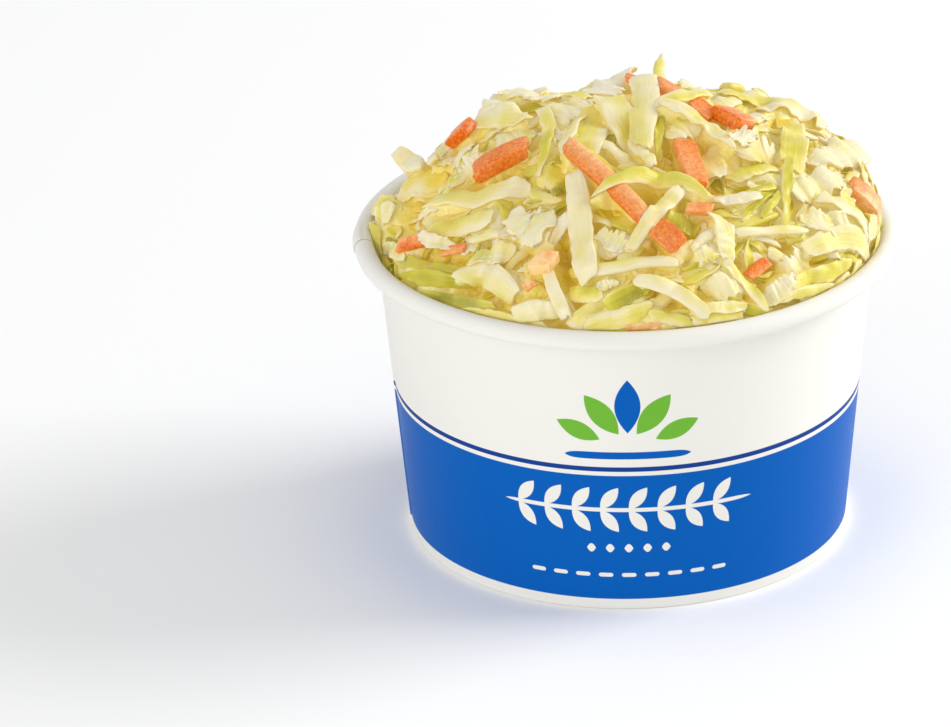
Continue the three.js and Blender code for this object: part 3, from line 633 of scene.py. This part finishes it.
def fillHeap():
    # from below: chopped bits, pieces of every kind up to the wanted level, the edge, the scattered shreds,
    # then the listed ones with the carrots between them, and a few bits in the low spots that these leave
    names = [name for name in kinds if kinds[name]["share"] > 0]
    shares = np.array([kinds[name]["share"] for name in names])
    for _ in range(packing["bits"]):
        randomPiece("chopped", *lowSpot(outlineLength))
    for count in range(packing["largest"]):
        if count % 20 == 0 and meanLevel(wanted) > 0:
            break
        randomPiece(random.choice(names, p=shares / shares.sum()), *lowSpot(outlineLength))
    layEdge()
    print("filled to", round(float(meanLevel()), 2))
    for _ in range(packing["crumbs"]):
        randomPiece("chopped", *lowSpot(outlineLength - 1))
    layScattered([row[:5] for row in carrotSticks] + [row[1:6] for row in largeShreds + overShreds])
    print("scattered to", round(float(meanLevel()), 2))
    for _ in range(packing["latePieces"]):
        u, v = lowSpot(outlineLength - 1)
        kind = random.choice(["chopped", "leaf", "green", "frilly"], p=[0.25, 0.45, 0.15, 0.15])
        randomPiece(kind, u, v, longest=12)
    before = tops.copy()
    layListed(largeShreds)
    for u, v, heading, length, width, creamy in carrotSticks:
        layPiece("carrot", u, v, heading, length, width, width * 0.55, (creamy, creamy))
    layListed(overShreds)
    kept = -lowest(-1.0 * (tops > before + 0.01), 3)
    for _ in range(packing["lateBits"]):
        u, v = lowSpot(outlineLength - 4, kept)
        randomPiece(random.choice(["chopped", "leaf"]), u, v, longest=6)
    print("heap filled to", round(float(meanLevel()), 2), {name: len(laid) for name, laid in pieces.items()})


def hollowness(u, v, h):
    # how deep a place lies under the highest places round it: 0 on top, 1 at the bottom of a hollow; it sets
    # where shade is painted
    return smoothStep(1.2, 4.4, around[cellOf(u, v)] - h)


def sweptPieces(kind):
    # every piece of one kind: a flattened round section carried along its path, ragged at both edges, cupped
    # across, ruffled along its edges, turned by its roll, and cut off at a slant
    k, laid = kinds[kind], pieces[kind]
    count, stations, ring = len(laid), k["stations"], k["ring"]
    s = stationPlaces(stations)[None, :, None]
    path = np.stack([p["path"] for p in laid])
    roll = np.stack([p["roll"] for p in laid])[..., None]
    width, thick, cupped, length = (np.array([p[key] for p in laid])[:, None, None]
                                    for key in ("width", "thick", "cupped", "length"))
    ahead = np.gradient(path, stationPlaces(stations), axis=1)
    ahead /= np.linalg.norm(ahead, axis=-1, keepdims=True)
    lateral = np.cross(np.array([0, 0, 1.0]), ahead)
    lateral /= np.linalg.norm(lateral, axis=-1, keepdims=True)
    normal = np.cross(ahead, lateral)
    squareness = k["square"]  # a power under 1 squares the round section up
    angle = (np.arange(ring) + 0.5) / ring * tau
    x, y = ((np.sign(w) * np.abs(w) ** squareness)[None, None] for w in (np.cos(angle), np.sin(angle)))
    edge = wander(count, stations, 2, k["smooth"]) * random.uniform(0.2, 1.8, (count, 1, 2)) * k["ragged"]
    swing, start = random.uniform(1.5, 5, (count, 1, 2)), random.uniform(0, tau, (count, 1, 2))
    edge = 1 + edge + k["wavy"] * np.sin(swing * s + start)
    ragged = np.where(x > 0, edge[..., :1], edge[..., 1:])
    ends = 1 - 0.22 * np.abs(s) ** 24
    points = np.stack([p["points"] for p in laid])[..., None]
    sharpness = random.uniform(1.3, 4, (count, 1, 1))
    slim = 1 - np.where(s > 0, points[:, 1:], points[:, :1]) * np.abs(s) ** sharpness
    c = x * width / 2 * ragged * ends * slim
    flat = c / (width / 2)
    swell = 1 + 2 * k["lumps"] * wander(count, stations, 1, 3)
    n = y * thick / 2 * (1 - k["thin"] * s ** 4 - 0.2 * np.abs(s) ** 24) * swell
    phase = random.uniform(0, tau, (count, 1, 2))
    waves = random.uniform(0.35, 0.75, (count, 1, 2)) * length * s
    ruffle = np.sin(waves + phase)
    ruffle = k["ruffle"] * np.abs(flat) * np.where(x > 0, ruffle[..., :1], ruffle[..., 1:])
    n = n + cupped * (flat ** 2 - 0.4) + ruffle
    n = n + k["lumps"] * wander(count, stations, ring, 3)
    turnedC, turnedN = c * np.cos(roll) - n * np.sin(roll), c * np.sin(roll) + n * np.cos(roll)
    slant = random.uniform(-0.6, 0.6, (count, 1, 1)) * np.abs(s) ** 3 * c
    slant = slant + k["torn"] * random.normal(size=(count, 1, ring)) * s ** 7
    spot = path[:, :, None] + turnedC[..., None] * lateral[:, :, None]
    spot = spot + turnedN[..., None] * normal[:, :, None] + slant[..., None] * ahead[:, :, None]
    places = clearOfCup(onHeap(spot[..., 0], spot[..., 1], spot[..., 2]))
    uv = np.stack(np.broadcast_arrays(s * length / 2, c + 20 * np.arange(count)[:, None, None]), -1)
    greens = np.stack([p["greens"] for p in laid])
    t = (s + 1) / 2
    drift = wander(count, stations, 1, stations // 2) * 0.07
    sided = random.uniform(-0.35, 0.35, (count, 1, 1)) * flat
    green = greens[:, :1, None] * (1 - t) + greens[:, 1:, None] * t + drift + sided
    green = green - k["paleEdge"] * (np.abs(x) ** 3 + s ** 6)
    paleness = np.clip(1.2 - 3 * greens.mean(1), 0, 1)[:, None, None]
    own = np.broadcast_to(0.5 * random.uniform(size=(count, 1, 1)) + 0.5 * paleness, green.shape)
    # deep is where shade is painted: in hollows, and at 0.7 on the underside of each piece
    deep = np.maximum(hollowness(spot[..., 0], spot[..., 1], spot[..., 2]), 0.7 * (y < -0.1))
    values = dict(green=np.clip(green, 0, 1).ravel(), own=own.ravel(), deep=deep.ravel())
    return places.reshape(-1, 3), tubeQuads(count, stations, ring), uv.reshape(-1, 2), values


def lowest(field, cellReach):
    # the lowest of the values within a square round each place
    for axis in (0, 1):
        field = np.min([np.roll(field, shift, axis) for shift in range(-cellReach, cellReach + 1)], axis=0)
    return field


def softened(field, times):
    # the field mixed with its neighbours, both ways
    for _ in range(times):
        field = blurred(blurred(field).T).T
    return field


def between(field, u, v):
    # the field read between the centres of its cells
    x, y = (np.clip((w + packing["reach"]) / packing["cell"], 0, cells - 1.001) for w in (u, v))
    i, j = x.astype(int), y.astype(int)
    near = field[i, j] * (1 + i - x) + field[i + 1, j] * (x - i)
    far = field[i, j + 1] * (1 + i - x) + field[i + 1, j + 1] * (x - i)
    return near * (1 + j - y) + far * (y - j)


dressing = dict(
    under=0.3, lumps=0.08, ringStep=0.55, columns=620, baseHeight=7.5, edgeFall=0.8, holeShare=0.6,
    wallRings=14, floorRadii=(30.0, 0.5),
)


def buildDressing():
    # the mass under the shreds, soaked in dressing: it fills the cup, and its top lies a little under the
    # pieces, bridging the narrow gaps between them. Rings of points, from the top down to the foot, the
    # wall and the base.
    columns, base = dressing["columns"], dressing["baseHeight"]
    lumps = softened(random.normal(size=tops.shape), 2)
    level = softened(lowest(tops, 1), 3) - dressing["holeShare"] * holeField - dressing["under"]
    level = level + dressing["lumps"] * lumps / lumps.std()
    phi = np.arange(columns) / columns * tau
    distance = np.arange(0.5, outlineLength + 3, dressing["ringStep"])
    u, v = distance[:, None] * np.cos(phi), distance[:, None] * np.sin(phi)
    atEdge = smoothStep(outlineLength - 4, outlineLength, distance)[:, None]
    h = between(level, u, v) * (1 - atEdge) - dressing["edgeFall"] * atEdge
    dome = clearOfCup(onHeap(u, v, h))
    heights = np.linspace(dome[-1, :, 2].min() - 1, base, dressing["wallRings"])[:, None]
    radius = innerRadius(heights) - heap["clearance"] - 0.1
    wall = np.stack(np.broadcast_arrays(radius * np.cos(phi), radius * np.sin(phi), heights), -1)
    radius = np.array(dressing["floorRadii"])[:, None]
    floor = np.stack(np.broadcast_arrays(radius * np.cos(phi), radius * np.sin(phi), base), -1)
    rings = np.concatenate([dome, wall, floor])
    deep = np.zeros(rings.shape[:2])
    # deep marks the hollows of the dressing's top, where shade is painted
    deep[:len(dome)] = hollowness(u, v, h)
    quads = tubeQuads(1, len(rings), columns)
    piece = meshPiece("dressingMass", rings.reshape(-1, 3), quads, values=dict(deep=deep.ravel()))
    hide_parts("slaw")
    return piece


cupWall = buildCup()
print("cup made")
fillHeap()
around = softened(-lowest(-tops, 4), 6)  # the highest places round each cell
pieceNames = dict(
    rib="cabbageRibs", leaf="leafShreds", green="greenShreds", frilly="frillyLeaves",
    chopped="choppedCabbage", broadLeaf="broadShreds", broadRib="stemShreds",
    broadFrilly="frilledShreds", carrot="carrotSticks",
)
made = {}
for kind, name in pieceNames.items():
    made[kind] = meshPiece(name, *sweptPieces(kind), sharpAngle=50 if kind == "carrot" else None)
    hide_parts("slaw")
dressingMass = buildDressing()
print("slaw made,", sum(len(piece.data.polygons) for piece in made.values()) * 2, "triangles")


def setInputs(tree, node, values):
    # each input gets a link from a socket, or a value of its own
    for key, value in values.items():
        if isinstance(value, bpy.types.NodeSocket):
            tree.links.new(value, node.inputs[key])
        else:
            node.inputs[key].default_value = value


def addNode(tree, kind, values=None, **settings):
    # a node with its settings and its inputs
    added = tree.nodes.new(kind)
    for key, value in settings.items():
        setattr(added, key, value)
    setInputs(tree, added, values or {})
    return added


def maths(tree, operation, first, second=0.0, third=0.0):
    # one step of arithmetic on sockets or numbers
    return addNode(tree, "ShaderNodeMath", {0: first, 1: second, 2: third}, operation=operation).outputs[0]


def noise(tree, place, scale, detail=2.0):
    # smooth noise from 0 to 1 at a place
    values = {"Vector": place, "Scale": scale, "Detail": detail}
    return addNode(tree, "ShaderNodeTexNoise", values).outputs[0]


def attribute(tree, name):
    # a value kept on the mesh's points
    return addNode(tree, "ShaderNodeAttribute", attribute_name=name).outputs["Fac"]


def relief(tree, strength, distance, height):
    # the surface's normal, tipped by the slope of a height
    values = {"Strength": strength, "Distance": distance, "Height": height}
    return addNode(tree, "ShaderNodeBump", values).outputs[0]


def mixColour(tree, factor, first, second, blend="MIX"):
    # the first colour at a factor of 0 and the second at 1, or the two blended in another way
    values = {"Factor": factor, 6: first, 7: second}
    return addNode(tree, "ShaderNodeMix", values, data_type="RGBA", blend_type=blend).outputs[2]


def newGroup(name, inputs, outputs):
    # an empty node group with named sockets; returns its tree, its input node and its output node
    tree = bpy.data.node_groups.new(name, "ShaderNodeTree")
    for label, kind, value in inputs:
        socket = tree.interface.new_socket(label, in_out="INPUT", socket_type=kind)
        if value is not None:
            socket.default_value = value
    for label, kind in outputs:
        tree.interface.new_socket(label, in_out="OUTPUT", socket_type=kind)
    return tree, tree.nodes.new("NodeGroupInput"), tree.nodes.new("NodeGroupOutput")


def useGroup(tree, group, values):
    # a node that holds a shared group, with its inputs
    return addNode(tree, "ShaderNodeGroup", values, node_tree=group)


def colour(red, green, blue):
    # an sRGB colour of 0 to 255 as linear values
    shares = (red / 255, green / 255, blue / 255)
    linear = [c / 12.92 if c <= 0.04045 else ((c + 0.055) / 1.055) ** 2.4 for c in shares]
    return (*linear, 1.0)


def newMaterial(name):
    # a material, its tree, its shader and the place on the object
    material = bpy.data.materials.new(name)
    material.use_nodes = True
    tree = material.node_tree
    position = addNode(tree, "ShaderNodeTexCoord").outputs["Object"]
    return material, tree, tree.nodes["Principled BSDF"], position


def ramp(tree, factor, stops):
    # a colour ramp through (place, colour) stops
    added = addNode(tree, "ShaderNodeValToRGB", {0: factor})
    elements = added.color_ramp.elements
    elements[0].position, elements[0].color = stops[0]
    elements[1].position, elements[1].color = stops[-1]
    for place, shade in stops[1:-1]:
        elements.new(place).color = shade
    return added.outputs[0]


def buildFilmGroup():
    # how thickly the cream lies: patches from broad noise broken up by fine noise
    inputs = [("Position", "NodeSocketVector", None), ("Amount", "NodeSocketFloat", 0.5),
              ("Size", "NodeSocketFloat", 300.0)]
    outputs = [("Film", "NodeSocketFloat"), ("Relief", "NodeSocketFloat")]
    tree, start, end = newGroup("creamFilm", inputs, outputs)
    position, amount, size = start.outputs[:3]
    broad = noise(tree, position, size, 3.0)
    fine = noise(tree, position, maths(tree, "MULTIPLY", size, 4.3))
    both = maths(tree, "MULTIPLY_ADD", fine, 0.35, maths(tree, "MULTIPLY", broad, 0.65))
    above = maths(tree, "ADD", both, maths(tree, "SUBTRACT", amount, 1.0))
    values = {"Value": above, 1: -0.16, 2: 0.2}
    film = addNode(tree, "ShaderNodeMapRange", values, interpolation_type="SMOOTHSTEP").outputs[0]
    setInputs(tree, end, {"Film": film, "Relief": both})
    return tree


def buildGrainGroup():
    # fibres along a piece: noise drawn out along the strip
    inputs = [("Strip", "NodeSocketVector", None), ("Along", "NodeSocketFloat", 0.12),
              ("Across", "NodeSocketFloat", 1.6)]
    tree, start, end = newGroup("shredGrain", inputs, [("Grain", "NodeSocketFloat")])
    strip, along, across = start.outputs[:3]
    parts = addNode(tree, "ShaderNodeSeparateXYZ", {0: strip})
    drawn = {i: maths(tree, "MULTIPLY", parts.outputs[i], scale) for i, scale in enumerate((along, across))}
    place = addNode(tree, "ShaderNodeCombineXYZ", drawn).outputs[0]
    values = {"Vector": place, "Scale": 1.0, "Detail": 4.0, "Roughness": 0.6}
    setInputs(tree, end, {"Grain": addNode(tree, "ShaderNodeTexNoise", values).outputs[0]})
    return tree


filmGroup, grainGroup = buildFilmGroup(), buildGrainGroup()


def grainOf(tree, **values):
    # the fibres' noise, along the strip that the piece's own UV spreads out
    strip = addNode(tree, "ShaderNodeUVMap", uv_map="strip").outputs[0]
    return useGroup(tree, grainGroup, {"Strip": strip, **values}).outputs[0]


cabbage = dict(
    rib=dict(film=0.48, grain=0.10, bump=0.4, roughness=0.4),
    leaf=dict(film=0.44, grain=0.16, bump=0.5, roughness=0.42),
    green=dict(film=0.38, grain=0.2, bump=0.5, roughness=0.4),
    frilly=dict(film=0.50, grain=0.12, bump=0.55, roughness=0.42),
    chopped=dict(film=0.50, grain=0.14, bump=0.55, roughness=0.42),
)
cream = colour(228, 221, 201)
paintedGlow = 0.13  # painted glow: the share of the flesh's own colour given out as emission, lifting its shade as if light came back out of the wet flesh
hollowShadeTint = colour(252, 226, 34)  # painted shade: the golden colour that hollows and the undersides of pieces are multiplied by
cabbageStops = [
    (0.0, colour(230, 218, 168)), (0.2, colour(225, 210, 106)), (0.4, colour(213, 200, 50)),
    (0.6, colour(197, 187, 20)), (0.8, colour(179, 170, 6)), (1.0, colour(155, 145, 3)),
]


def cabbageMaterial(kind):
    # green from the attribute, drawn through the stops, darker along the fibres, cream over it, painted shade
    # in hollows and a painted glow
    look = cabbage[kind]
    material, tree, shader, position = newMaterial("cabbage_" + kind)
    green, own, deep = (attribute(tree, name) for name in ("green", "own", "deep"))
    grain = grainOf(tree)
    film, filmRelief = useGroup(tree, filmGroup, {"Position": position, "Amount": look["film"]}).outputs[:2]
    drift = maths(tree, "SUBTRACT", noise(tree, position, 160.0), 0.5)
    shifted = maths(tree, "MULTIPLY_ADD", drift, 0.45, green)
    shifted = maths(tree, "MULTIPLY_ADD", maths(tree, "SUBTRACT", grain, 0.5), look["grain"] * 3, shifted)
    flesh = ramp(tree, shifted, cabbageStops)
    veil = maths(tree, "MULTIPLY_ADD", film, 0.16, 0.1)
    veil = maths(tree, "MULTIPLY_ADD", maths(tree, "POWER", own, 2.5), 0.7, veil)
    veil = maths(tree, "MULTIPLY", veil, maths(tree, "SUBTRACT", 1.0, maths(tree, "MULTIPLY", green, 0.7)))
    covered = mixColour(tree, veil, flesh, cream)
    # painted shade: hollows and undersides multiplied by the golden tint
    covered = mixColour(tree, maths(tree, "MULTIPLY", deep, 0.75), covered, hollowShadeTint, "MULTIPLY")
    height = maths(tree, "MULTIPLY_ADD", filmRelief, 0.6, maths(tree, "MULTIPLY", grain, 0.8))
    setInputs(tree, shader, {
        "Base Color": covered, "Roughness": look["roughness"], "Specular IOR Level": 0.3,
        # the emission is a painted glow that lifts the shade
        "Emission Color": covered, "Emission Strength": paintedGlow,
        "Subsurface Weight": 0.35, "Subsurface Radius": (0.8, 0.9, 1.0), "Subsurface Scale": 0.0005,
        "Coat Weight": maths(tree, "MULTIPLY_ADD", film, 0.4, 0.05), "Coat Roughness": 0.2,
        "Normal": relief(tree, look["bump"], 0.0006, height)})
    return material


carrot = dict(
    filmSize=900.0, mottle=1600.0, film=0.30, roughness=0.4,
    deep=colour(206, 72, 0), pale=colour(240, 142, 24), cream=colour(242, 202, 140),
)


def carrotMaterial():
    # orange flesh, mottled between deep and pale, with cream over it where the attribute says so, and a
    # painted glow
    material, tree, shader, position = newMaterial("carrot")
    grain = grainOf(tree, Along=0.25, Across=2.2)
    creamy = attribute(tree, "green")
    amount = maths(tree, "MULTIPLY_ADD", creamy, 0.3, carrot["film"])
    values = {"Position": position, "Amount": amount, "Size": carrot["filmSize"]}
    film, filmRelief = useGroup(tree, filmGroup, values).outputs[:2]
    mottle = maths(tree, "SUBTRACT", noise(tree, position, carrot["mottle"]), 0.5)
    flesh = mixColour(tree, maths(tree, "MULTIPLY_ADD", mottle, 2.2, grain), carrot["deep"], carrot["pale"])
    veil = maths(tree, "MULTIPLY_ADD", creamy, 0.7, maths(tree, "MULTIPLY", film, 0.5))
    covered = mixColour(tree, veil, flesh, carrot["cream"])
    height = maths(tree, "MULTIPLY_ADD", filmRelief, 0.6, maths(tree, "MULTIPLY", grain, 0.4))
    setInputs(tree, shader, {
        "Base Color": covered, "Roughness": carrot["roughness"],
        # the emission is a painted glow that lifts the shade
        "Emission Color": covered, "Emission Strength": paintedGlow,
        "Subsurface Weight": 0.25, "Subsurface Radius": (1.0, 0.45, 0.2), "Subsurface Scale": 0.0015,
        "Coat Weight": maths(tree, "MULTIPLY_ADD", film, 0.3, 0.1), "Coat Roughness": 0.2,
        "Normal": relief(tree, 0.35, 0.0006, height)})
    return material


def dressingMaterial():
    # yellow where the film's relief is low, cream where it stands thicker, golden painted shade in the
    # hollows, and a painted glow
    material, tree, shader, position = newMaterial("dressing")
    values = {"Position": position, "Amount": 0.5, "Size": 420.0}
    film, filmRelief = useGroup(tree, filmGroup, values).outputs[:2]
    stops = [(0.3, colour(227, 214, 122)), (0.5, colour(232, 222, 146)), (0.7, colour(236, 229, 176))]
    body = ramp(tree, filmRelief, stops)
    # painted shade: the hollows multiplied by the golden tint
    deep = maths(tree, "MULTIPLY", attribute(tree, "deep"), 0.6)
    body = mixColour(tree, deep, body, hollowShadeTint, "MULTIPLY")
    setInputs(tree, shader, {
        # the emission is a painted glow that lifts the shade
        "Base Color": body, "Roughness": 0.3, "Emission Color": body, "Emission Strength": paintedGlow,
        "Subsurface Weight": 0.4, "Subsurface Radius": (1.0, 0.9, 0.7), "Subsurface Scale": 0.0012,
        "Coat Weight": maths(tree, "MULTIPLY", film, 0.5), "Coat Roughness": 0.15,
        "Normal": relief(tree, 0.5, 0.001, filmRelief)})
    return material


def buildEdgeGroup():
    # a mask that is 1 where a distance in millimetres is above 0, with an edge as sharp as print
    inputs = [("Distance", "NodeSocketFloat", 0.0)]
    tree, start, end = newGroup("printEdge", inputs, [("Mask", "NodeSocketFloat")])
    values = {"Value": start.outputs[0], 1: -0.05, 2: 0.05}
    edge = addNode(tree, "ShaderNodeMapRange", values, interpolation_type="SMOOTHSTEP").outputs[0]
    setInputs(tree, end, {"Mask": edge})
    return tree


def buildLeafGroup(edgeGroup):
    # a leaf or a bar on the wall: turned to its own axes, its half width shrinks as 1 - x^Point to both ends
    sizes = [("Across", 0.0), ("Height", 0.0), ("Centre Across", 0.0), ("Centre Height", 0.0), ("Turn", 0.0),
             ("Length", 10.0), ("Width", 4.0), ("Point", 2.0)]
    inputs = [(label, "NodeSocketFloat", size) for label, size in sizes]
    tree, start, end = newGroup("leafShape", inputs, [("Mask", "NodeSocketFloat")])
    across, height, centreAcross, centreHeight, turn, length, width, point = start.outputs[:8]
    across = maths(tree, "SUBTRACT", across, centreAcross)
    up = maths(tree, "SUBTRACT", height, centreHeight)
    cosine, sine = maths(tree, "COSINE", turn), maths(tree, "SINE", turn)
    x = maths(tree, "ADD", maths(tree, "MULTIPLY", across, cosine), maths(tree, "MULTIPLY", up, sine))
    y = maths(tree, "SUBTRACT", maths(tree, "MULTIPLY", up, cosine), maths(tree, "MULTIPLY", across, sine))
    half = maths(tree, "DIVIDE", maths(tree, "ABSOLUTE", x), maths(tree, "MULTIPLY", length, 0.5))
    shrink = maths(tree, "SUBTRACT", 1.0, maths(tree, "POWER", half, point))
    reach = maths(tree, "MULTIPLY", maths(tree, "MULTIPLY", width, 0.5), shrink)
    distance = maths(tree, "SUBTRACT", reach, maths(tree, "ABSOLUTE", y))
    setInputs(tree, end, {"Mask": useGroup(tree, edgeGroup, {"Distance": distance}).outputs[0]})
    return tree


# The print on the wall, in millimetres: the band and its lines by height, and shapes as centre across, centre
# height, turn in degrees, length, width, and how blunt the ends are
prints = dict(
    bandLow=2.4, bandHigh=30.8, lineLow=31.74, lineHigh=32.78, radius=49.0, seam=-71.6, seamHalfWidth=0.14,
    blue=colour(0, 92, 180), navy=colour(20, 62, 140), green=colour(112, 180, 58),
    paper=colour(236, 234, 227), clouded=colour(216, 213, 203), shade=colour(120, 122, 124),
    blueShapes=[(0, 46.5, 90, 12, 5.2, 2), (0, 35.4, 0, 26, 1.6, 12)],
    greenShapes=[(s * x, z, 90 - s * t, length, width, 2) for s in (-1, 1)
                 for x, z, t, length, width in ((5.2, 44.6, 38, 11, 4.6), (10.0, 41.0, 66, 9.5, 3.8))],
    whiteShapes=[(0, 23, 0, 54, 0.9, 16)]
    + [(x, 23 + s * 2.6, s * 52, 6.2, 2.7, 2) for x in range(-22, 26, 6) for s in (-1, 1)]
    + [(x, 14.2, 0, 1.9, 1.9, 2) for x in range(-8, 9, 4)]
    + [(x, 8.0, 0, 3.2, 0.9, 10) for x in range(-20, 21, 5)],
)


def paperMaterial():
    # coated white paper with its print: masks of height and of simple shapes choose the ink
    material, tree, shader, position = newMaterial("printedPaper")
    parts = addNode(tree, "ShaderNodeSeparateXYZ", {0: position})
    x, y, z = parts.outputs[:3]
    edgeGroup = buildEdgeGroup()
    leafGroup = buildLeafGroup(edgeGroup)
    height = maths(tree, "DIVIDE", z, mm)
    front = maths(tree, "ARCTAN2", x, maths(tree, "MULTIPLY", y, -1.0))
    across = maths(tree, "MULTIPLY", front, prints["radius"])

    def heightMask(low, high):
        aboveLow, underHigh = maths(tree, "SUBTRACT", height, low), maths(tree, "SUBTRACT", high, height)
        inside = maths(tree, "MINIMUM", aboveLow, underHigh)
        return useGroup(tree, edgeGroup, {"Distance": inside}).outputs[0]

    def shapeMask(rows):
        labels = ("Centre Across", "Centre Height", "Turn", "Length", "Width", "Point")
        whole = None
        for centreAcross, centreHeight, turn, *size in rows:
            sizes = map(float, (centreAcross, centreHeight, math.radians(turn), *size))
            values = {"Across": across, "Height": height, **dict(zip(labels, sizes))}
            mask = useGroup(tree, leafGroup, values).outputs[0]
            whole = mask if whole is None else maths(tree, "MAXIMUM", whole, mask)
        return whole

    squares = [maths(tree, "POWER", place, 2.0) for place in (x, y)]
    radius = maths(tree, "POWER", maths(tree, "ADD", *squares), 0.5)
    middle = (cup["footRadius"] - cup["paper"] * 0.6) * mm  # of the paper's thickness, at the foot
    outside = maths(tree, "GREATER_THAN", radius, maths(tree, "MULTIPLY_ADD", z, cup["taper"], middle))
    lineMask = maths(tree, "MULTIPLY", heightMask(prints["lineLow"], prints["lineHigh"]), outside)
    fromSeam = maths(tree, "ABSOLUTE", maths(tree, "SUBTRACT", across, prints["seam"]))
    inSeam = maths(tree, "SUBTRACT", prints["seamHalfWidth"], fromSeam)
    seamMask = useGroup(tree, edgeGroup, {"Distance": inSeam}).outputs[0]
    onBead = maths(tree, "MULTIPLY", heightMask(cup["neckHeight"] + 2, 70), 0.6)
    seamMask = maths(tree, "MULTIPLY", seamMask, onBead)
    blueMask = maths(tree, "SUBTRACT", heightMask(prints["bandLow"], prints["bandHigh"]),
                     shapeMask(prints["whiteShapes"]))
    blueMask = maths(tree, "MAXIMUM", blueMask, shapeMask(prints["blueShapes"]))
    blueMask = maths(tree, "MULTIPLY", maths(tree, "MAXIMUM", blueMask, 0.0), outside)
    greenMask = maths(tree, "MULTIPLY", shapeMask(prints["greenShapes"]), outside)
    fibre, cloud = noise(tree, position, 900.0, 4.0), noise(tree, position, 60.0)
    ink = mixColour(tree, maths(tree, "MULTIPLY", cloud, 0.12), prints["paper"], prints["clouded"])
    masks = dict(shade=seamMask, blue=blueMask, navy=lineMask, green=greenMask)
    for name, mask in masks.items():
        ink = mixColour(tree, mask, ink, prints[name])
    setInputs(tree, shader, {
        "Base Color": ink, "Specular IOR Level": 0.06,
        "Roughness": maths(tree, "MULTIPLY_ADD", fibre, 0.12, 0.34),
        "Normal": relief(tree, 0.12, 0.0003, maths(tree, "MULTIPLY_ADD", cloud, 1.5, fibre))})
    return material


paper = paperMaterial()
cupWall.data.materials.append(paper)
cupBase = bpy.data.objects["cup_base"]
cupBase.data.materials.clear()
cupBase.data.materials.append(paper)
for look in cabbage:
    material = cabbageMaterial(look)
    for kind in made:
        if kind.lower().removeprefix("broad") == look:
            made[kind].data.materials.append(material)
made["carrot"].data.materials.append(carrotMaterial())
dressingMass.data.materials.append(dressingMaterial())
print("materials made")


studio = dict(
    world=0.68, worldTint=(0.99, 0.995, 1.0),
    keyPlace=(1560, 400, 860), keySize=950, keyPower=24.0,
    fillPlace=(-850, -1000, 420), fillSize=900, fillPower=6.0,
)


def areaLight(name, place, size, power):
    # a square soft box at place, in millimetres, facing the middle of the cup
    light = bpy.data.lights.new(name, "AREA")
    light.size, light.energy = size * mm, power
    lamp = bpy.data.objects.new(name, light)
    bpy.context.scene.collection.objects.link(lamp)
    at = np.array(place, float) * mm
    lamp.location = at
    lamp.rotation_euler = Vector(at - np.array([0, 0, 0.04])).to_track_quat("Z", "Y").to_euler()


def buildStudio():
    # a white floor with its edges out of sight, a white room, a soft key from the right and a fill from the
    # front
    corners = np.array([[-1, -1, 0], [1, -1, 0], [1, 1, 0], [-1, 1, 0]]) * 6000.0
    mesh = bpy.data.meshes.new("studioFloor")
    mesh.from_pydata((corners * mm).tolist(), [], [[0, 1, 2, 3]])
    floor = bpy.data.objects.new("studioFloor", mesh)
    bpy.context.scene.collection.objects.link(floor)
    material, tree, shader = newMaterial("studioFloor")[:3]
    setInputs(tree, shader, {"Base Color": (0.955, 0.955, 0.955, 1), "Roughness": 0.7})
    mesh.materials.append(material)
    world = bpy.data.worlds.new("whiteRoom")
    world.use_nodes = True
    background = world.node_tree.nodes["Background"]
    background.inputs[0].default_value = (*studio["worldTint"], 1)
    background.inputs[1].default_value = studio["world"]
    bpy.context.scene.world = world
    areaLight("softKey", studio["keyPlace"], studio["keySize"], studio["keyPower"])
    areaLight("frontFill", studio["fillPlace"], studio["fillSize"], studio["fillPower"])
    bpy.context.scene.view_settings.view_transform = "Standard"
    bpy.context.scene.view_settings.look = "None"


view = dict(
    distance=1352.44, pitch=24.3934, roll=-0.6317, aimHeight=33.478,
    focal=6627.93, imageWidth=951, imageHeight=727, aimPixel=(626.89, 364.90), sensor=36.0,
)


def buildCamera():
    # the camera stands in front of the cup, tips down by the pitch and rolls, then swings by the smallest
    # turn that brings the aim point from the middle of the picture to its pixel
    pitch, roll = math.radians(view["pitch"]), math.radians(view["roll"])
    right = np.array([1.0, 0, 0])
    forward = np.array([0, math.cos(pitch), -math.sin(pitch)])
    down = np.cross(forward, right)
    rolled = np.array([[math.cos(roll), -math.sin(roll), 0], [math.sin(roll), math.cos(roll), 0], [0, 0, 1]])
    aim = np.array([(view["aimPixel"][0] - view["imageWidth"] / 2) / view["focal"],
                    (view["aimPixel"][1] - view["imageHeight"] / 2) / view["focal"], 1.0])
    aim /= np.linalg.norm(aim)
    axis = np.cross([0, 0, 1.0], aim)
    cross = np.array([[0, -axis[2], axis[1]], [axis[2], 0, -axis[0]], [-axis[1], axis[0], 0]])
    swing = np.eye(3) + cross + cross @ cross / (1 + aim[2])
    turned = swing @ rolled @ np.stack([right, down, forward])
    place = -forward * view["distance"] + np.array([0, 0, view["aimHeight"]])
    matrix = Matrix.Identity(4)
    for row in range(3):
        matrix[row][0], matrix[row][1], matrix[row][2] = turned[0][row], -turned[1][row], -turned[2][row]
        matrix[row][3] = place[row] * mm
    data = bpy.data.cameras.new("camera")
    data.sensor_width, data.sensor_fit = view["sensor"], "HORIZONTAL"
    data.lens = view["focal"] * view["sensor"] / view["imageWidth"]
    data.clip_start, data.clip_end = 0.05, 50
    camera = bpy.data.objects.new("camera", data)
    bpy.context.scene.collection.objects.link(camera)
    camera.matrix_world = matrix
    bpy.context.scene.camera = camera


buildStudio()
buildCamera()
print("studio and camera made")
bpy.context.view_layer.update()
